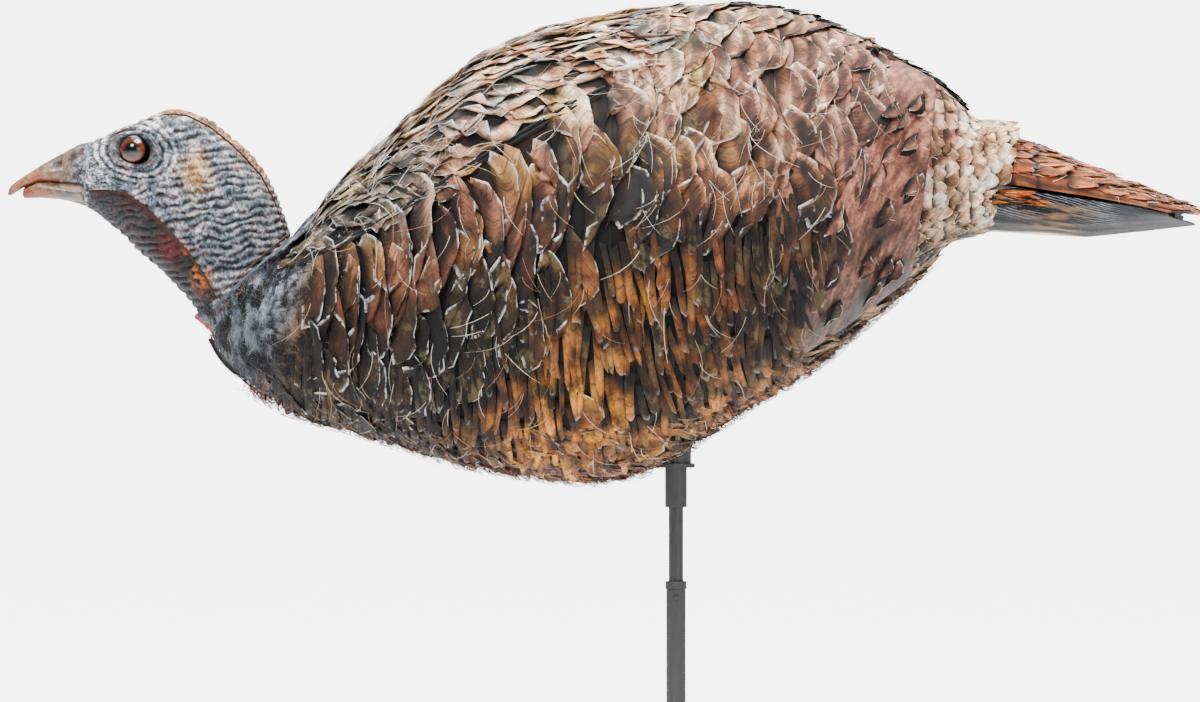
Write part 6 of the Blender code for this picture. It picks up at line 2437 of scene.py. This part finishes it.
# ---------------------------------------------------------------------------------------------
# Tail
# ---------------------------------------------------------------------------------------------
@dataclass
class TailCover:
    """Printed covers over and under the tail board, with layered feather flaps."""

    start_at: float = 0.006
    length: float = 0.164
    root_width: float = 0.094
    tip_width: float = 0.150
    top_crest: tuple[float, float] = (0.046, -0.0165)
    top_edge: tuple[float, float] = (0.004, -0.0185)
    under_crest: tuple[float, float, float] = (-0.030, -0.034, -0.0255)
    under_edge: tuple[float, float] = (0.0028, -0.0197)
    seed: int = 29

    def surface(self, top: bool, rows: int = 60, columns: int = 81) -> Skin:
        """The upper or the under side as a skin, a quarter turn to each side across.

        Args:
            top: The upper side.
            rows: Rows of points along it.
            columns: Points across it.

        Returns:
            The skin.
        """
        share = np.linspace(0.0, 1.0, rows)[:, None]
        across = np.sin(np.linspace(-math.pi / 2, math.pi / 2, columns))[None]
        half = (self.root_width + (self.tip_width - self.root_width) * share) / 2
        x = self.start_at + (self.length - self.start_at) * share * (1 - 0.18 * (across * share) ** 2)
        crest_at = self.top_crest if top else self.under_crest
        edge_at = self.top_edge if top else self.under_edge
        crest = np.interp(share, np.linspace(0, 1, len(crest_at)), crest_at)
        edge = np.interp(share, [0, 1], edge_at)
        z = edge + (crest - edge) * np.sqrt(np.maximum(0.0, 1 - across**2))
        ones = np.ones((rows, columns))
        points = TAIL_HINGE + np.stack([x * ones, half * across * ones, z * ones], axis=-1)
        beyond = np.full(rows, -0.3 if top else 0.3)
        inside = TAIL_HINGE + np.stack([x[:, columns // 2], 0 * share[:, 0], beyond], axis=-1)
        return Skin(points, inside, -math.pi / 2, math.pi / 2, False)

    def side_feathers(self, bed: Bed, finish: bpy.types.Material) -> None:
        """Small orange and dark feathers that stick out below the top cover's edge, near the root.

        Args:
            bed: The under side's bed.
            finish: Their material.
        """
        for number, (tint, count) in enumerate(((Dye.ORANGE, 16), (Dye.INK, 20)), 1):
            side = np.where(np.arange(count) % 2 == 0, -1.0, 1.0)
            lay = Layout(
                bed.draw.uniform(-0.03, 0.16, count),
                side * (1.20 + 0.30 * bed.draw.random(count)),
                0.12 * bed.draw.normal(size=count),
            )

            def plain(
                u: np.ndarray, a: np.ndarray, p: np.ndarray, luck: np.ndarray, ink: Dye = tint
            ) -> np.ndarray:
                """One dye, lighter or darker from feather to feather; see Print.at."""
                return dye(ink) * (0.6 + 0.6 * luck)[..., None] * np.ones_like(p)

            painted = Bed(bed.skin, plain, bed.draw)
            kind = Flap(
                length=0.030, width=0.0085, lift=0.0030, edge=Edge.POINT, fray=0.3, ragged=0.1, wave=0.02,
                rows=7, columns=5, base=0.0012,
            )
            cloth = Cloth()
            painted.flaps(cloth, lay, kind)
            cloth.piece(f"tail_side_feathers_{number}", finish, "tail_under_print", TAIL)

    def build(self) -> None:
        """Build both covers and their feathers."""
        draw = np.random.default_rng(self.seed)
        ripple = Ripple(self.seed)
        cloth_finish = CutClothFinish(
            "printed_tail_cloth", roughness=0.78, blotch=170.0, barbs=0.8
        ).material()
        base_finish = PaintedFinish("tail_base_cloth", roughness=0.85).material()
        thread_finish = PaintedFinish("tail_thread", roughness=0.7, weave=False).material()

        def top_colours(u: np.ndarray, a: np.ndarray, p: np.ndarray, luck: np.ndarray) -> np.ndarray:
            """Orange-red rows with dark bars, browner at the tip.

            Args:
                u: Shares of the tail's length.
                a: Angles across.
                p: The same places in space.
                luck: 0 to 1 for each flap.

            Returns:
                One colour for each place.
            """
            tone = np.clip(0.5 + 0.7 * ripple.layered(p * 70.0, 3, 0.6) + 0.6 * (luck - 0.5), 0, 1)
            warm = mixed(dye(Dye.RUST) * 0.8, mixed(dye(Dye.ORANGE), dye(Dye.PEACH), 0.4) * 1.05, tone)
            line = rise(0.25, 0.6, np.sin(a * 21.0 + 2.0 * ripple.at(p * 40.0)))
            stripe = mixed(dye(Dye.OLIVE), dye(Dye.STEEL), 0.5) * 0.35
            warm = mixed(warm, stripe, 0.7 * line * rise(0.08, 0.2, u))
            dark = rise(0.62, 0.8, np.sin(u * 58.0 + 1.5 * ripple.at(p * 30.0))) * (1 - rise(0.2, 0.35, u))
            warm = mixed(warm, dye(Dye.INK), 0.9 * dark)
            tip = mixed(dye(Dye.INK), dye(Dye.RUST), tone)
            return mixed(warm, tip, 0.8 * spot(u, 0.88, 0.07))

        def under_colours(u: np.ndarray, a: np.ndarray, p: np.ndarray, luck: np.ndarray) -> np.ndarray:
            """Grey and dark blue stripes with tan.

            Args:
                u: Shares of the tail's length.
                a: Angles across.
                p: The same places in space.
                luck: 0 to 1 for each flap.

            Returns:
                One colour for each place.
            """
            tone = ripple.layered(p * np.array([30.0, 130.0, 130.0]) + 5.0, 3, 0.7)
            away = np.abs(a) + 0.9 * (u - 0.2)
            line = np.sin(away * 95.0 + 2.5 * tone)
            cool = mixed(dye(Dye.INK) * 0.45, dye(Dye.STEEL) * 0.26, np.clip(0.25 + tone, 0, 1))
            thin = rise(0.55, 0.95, line) * rise(0.75, 1.05, np.abs(a) + 0.3 * u)
            cool = mixed(cool, dye(Dye.FROST) * 0.7, 0.6 * thin)
            brown = mixed(dye(Dye.INK) * 0.6, dye(Dye.TAN) * 0.4, np.clip(0.3 + 1.4 * tone, 0, 1))
            cool = mixed(cool, brown, 0.9 * spot(u, 0.35, 0.16) * rise(1.5, 1.15, np.abs(a)))
            smooth = mixed(dye(Dye.MAUVE) * 0.07, dye(Dye.STEEL) * 0.17, np.clip(0.5 + tone, 0, 1))
            cool = mixed(cool, smooth, 0.8 * rise(0.55, 0.7, u))
            crest = (1 - rise(0.12, 0.3, np.abs(a))) * rise(0.5, 0.3, u)
            return mixed(cool, dye(Dye.CREAM) * 0.9, 0.85 * crest)

        # The last number darkens each cover's base cloth as painted shade: 0.35 on the top, under its flaps, 1.0
        # below.
        for top, word, colours, slot, dim in (
            (True, "top", top_colours, "tail_print", 0.35),
            (False, "under", under_colours, "tail_under_print", 1.0),
        ):
            skin = self.surface(top)
            limit = math.pi / 2 - 0.03
            def shaded_under_flaps(
                u: np.ndarray,
                a: np.ndarray,
                p: np.ndarray,
                luck: np.ndarray,
                painter: Painter = colours,
                light: float = dim,
            ) -> np.ndarray:
                """The cover's colours, darkened as painted shade where flaps lie over them."""
                return painter(u, a, p, luck) * light

            def slack(u: np.ndarray, a: np.ndarray, p: np.ndarray) -> np.ndarray:
                """Soft ripples along the cover at places p."""
                return -0.0002 + 0.0005 * ripple.layered(p * np.array([20.0, 90.0, 90.0]), 3)

            cloth, edges = Cloth(), (level(-limit), level(limit))
            skin_sheet(cloth, skin, (0.0, 0.985), edges, (90, 240), shaded_under_flaps, slack, thickness=0.0009)
            made = cloth.piece(f"tail_{word}_cloth", base_finish, slot, TAIL)
            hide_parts(f"tail_{word}_cover")
            Plumage.declare(made, cloth, "tail_board")
            bed = Bed(skin, colours, draw)
            if not top:
                self.side_feathers(bed, cloth_finish)
                continue
            rings = np.arange(0.0, 0.93, 0.075)
            spots = []
            for index, ring in enumerate(rings):
                count = 17
                across = (np.arange(count) + 0.5 * (index % 2) + 0.25) / count * 2 - 1
                across = across[np.abs(across) < 0.97]
                angle = np.arcsin(across) * 0.98
                spots.append(np.stack([ring + 0.012 * draw.normal(size=len(angle)), angle], axis=1))
            found = np.concatenate(spots)
            lay = Layout(found[:, 0], found[:, 1], 0.06 * draw.normal(size=len(found)))
            kind = Flap(
                length=0.027, width=0.0125, lift=0.0030, edge=Edge.SCALLOP, fray=0.7, ragged=0.3, wave=0.03,
                rows=7, columns=7, base=0.0004,
            )
            feathers = Cloth()
            bed.flaps(feathers, lay, kind)
            feathers.piece(f"tail_{word}_flaps", cloth_finish, slot, TAIL)
            count = 260
            share, angle = draw.uniform(0.05, 0.97, count), draw.uniform(-1.4, 1.4, count)
            loose = Layout(share, angle, 0.2 * draw.normal(size=count))
            frayed = Cloth()
            tints = [dye(Dye.CREAM), dye(Dye.TAN), dye(Dye.INK)]
            bed.threads(
                frayed, loose, length=0.009, lift=0.0025, radius=0.00014, tints=tints, sprawl=0.5,
                start=0.0015,
            )
            frayed.piece(f"tail_{word}_threads", thread_finish, slot, TAIL)


# ---------------------------------------------------------------------------------------------
# Stake and frame
# ---------------------------------------------------------------------------------------------
@dataclass
class Hardware:
    """Finishes of the CAD pieces that stay in view."""

    def build(self) -> None:
        """Dress each CAD node that shows."""
        finishes = {
            "black_plastic": HardFinish(
                "black_nylon", colour=(0.012, 0.012, 0.013), worn=(0.07, 0.07, 0.07), roughness=0.45
            ),
            "dark_rod": HardFinish(
                "dark_oiled_steel", colour=(0.075, 0.062, 0.055), worn=(0.26, 0.24, 0.22), roughness=0.38,
                metallic=0.65, scuffs=0.8,
            ),
            "grey_tube": HardFinish(
                "grey_anodised_tube", colour=(0.30, 0.29, 0.28), worn=(0.55, 0.54, 0.52), roughness=0.36,
                metallic=0.8, scuffs=0.7,
            ),
            "spring_steel": HardFinish(
                "spring_steel", colour=(0.42, 0.41, 0.40), worn=(0.62, 0.61, 0.60), roughness=0.28,
                metallic=1.0, scuffs=0.6,
            ),
            "rubber": HardFinish(
                "black_rubber", colour=(0.016, 0.016, 0.017), worn=(0.06, 0.06, 0.06), roughness=0.7
            ),
            "foam": HardFinish(
                "pale_foam", colour=(0.52, 0.50, 0.46), worn=(0.36, 0.34, 0.31), roughness=0.92, metallic=0.0,
                scuffs=0.5, grain=0.0003,
            ),
        }
        made = {slot: finish.material() for slot, finish in finishes.items()}
        slots = {}
        for entry in frame["record"].get("materials", []):
            for node in entry.get("nodes", []):
                slots[node] = entry["slot"]
        for name, node in frame["nodes"].items():
            if node.hide_render:
                continue
            slot = slots.get(name, "black_plastic")
            finish = made.get(slot, made["black_plastic"])
            node.data.materials.clear()
            node.data.materials.append(finish)


# ---------------------------------------------------------------------------------------------
# Stage
# ---------------------------------------------------------------------------------------------
WHITE = (1.0, 1.0, 1.0)


@dataclass(frozen=True)
class Lamp:
    """A soft area light: its place and width in metres, its power in watts."""

    name: str
    place: tuple[float, float, float]
    size: float
    power: float


@dataclass
class Studio:
    """Pale floor, soft lights and the camera."""

    view: tuple[float, float, float] = (-0.0547, -4.0, 0.3090)
    seen_width: float = 0.864
    floor: float = -0.160
    floor_reach: float = 60.0
    glow_seen: float = 5.0
    floor_glow: float = 0.6
    air_glow: float = 0.30
    middle: tuple[float, float, float] = (-0.05, 0.0, 0.35)
    sensor: float = 36.0
    lamps: tuple[Lamp, ...] = (
        Lamp("key", place=(-1.1, -2.0, 2.5), size=0.7, power=185.0),
        Lamp("fill", place=(1.8, -2.6, 1.0), size=1.6, power=24.0),
        Lamp("top", place=(0.3, -0.2, 2.6), size=1.2, power=185.0),
        Lamp("back_wash", place=(0.0, 1.2, 2.4), size=2.0, power=60.0),
    )

    def ground(self) -> None:
        """Wide plain floor."""
        reach = self.floor_reach
        corners = [(-reach, -reach), (reach, -reach), (reach, reach), (-reach, reach)]
        mesh = bpy.data.meshes.new("paper_floor")
        mesh.from_pydata([(x, y, self.floor) for x, y in corners], [], [(0, 1, 2, 3)])
        made, nodes, shader = start_material("pale_paper", roughness=0.9)
        place = nodes.make("ShaderNodeTexCoord").outputs["Object"]
        grain = nodes.noise(place, scale=3.0, detail=2.0)
        nodes.feed(shader, "Base Color", nodes.mix(grain, rgba(WHITE, 0.86), rgba(WHITE, 0.9)))
        shader.inputs["Emission Color"].default_value = rgba(WHITE)
        seen = nodes.make("ShaderNodeLightPath").outputs["Is Camera Ray"]
        nodes.feed(shader, "Emission Strength", nodes.scaled(seen, self.glow_seen, self.floor_glow))
        mesh.materials.append(made)
        paper = bpy.data.objects.new("paper_floor", mesh)
        bpy.context.scene.collection.objects.link(paper)

    def light(self, lamp: Lamp) -> None:
        """Hang a soft area light that faces the bird.

        Args:
            lamp: Which one.
        """
        data = bpy.data.lights.new(lamp.name, "AREA")
        data.size, data.energy = lamp.size, lamp.power
        hung = bpy.data.objects.new(lamp.name, data)
        hung.location = lamp.place
        aim = Vector(self.middle) - Vector(lamp.place)
        hung.rotation_euler = aim.to_track_quat("-Z", "Y").to_euler()
        bpy.context.scene.collection.objects.link(hung)

    def build(self) -> None:
        """Set the stage."""
        self.ground()
        world = bpy.data.worlds.new("studio_air")
        world.use_nodes = True
        air = world.node_tree.nodes["Background"]
        air.inputs["Color"].default_value = rgba(WHITE)
        nodes = Nodes(world.node_tree)
        seen = nodes.make("ShaderNodeLightPath").outputs["Is Camera Ray"]
        nodes.feed(air, "Strength", nodes.scaled(seen, self.glow_seen + self.floor_glow, self.air_glow))
        bpy.context.scene.world = world
        for lamp in self.lamps:
            self.light(lamp)
        data = bpy.data.cameras.new("camera")
        data.sensor_width = self.sensor
        data.lens = self.sensor * abs(self.view[1]) / self.seen_width
        camera = bpy.data.objects.new("camera", data)
        camera.location = self.view
        camera.rotation_euler = (math.pi / 2, 0.0, 0.0)
        bpy.context.scene.collection.objects.link(camera)
        bpy.context.scene.camera = camera


def main() -> None:
    """Build the decoy's looks and set the stage."""
    logging.basicConfig(level=logging.INFO, format="%(name)s %(message)s")
    for section in (Plumage(), HeadCover(), TailCover(), Hardware(), Studio()):
        section.build()
        LOG.info("%s done", type(section).__name__)
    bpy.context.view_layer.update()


if __name__ == "__main__":
    main()
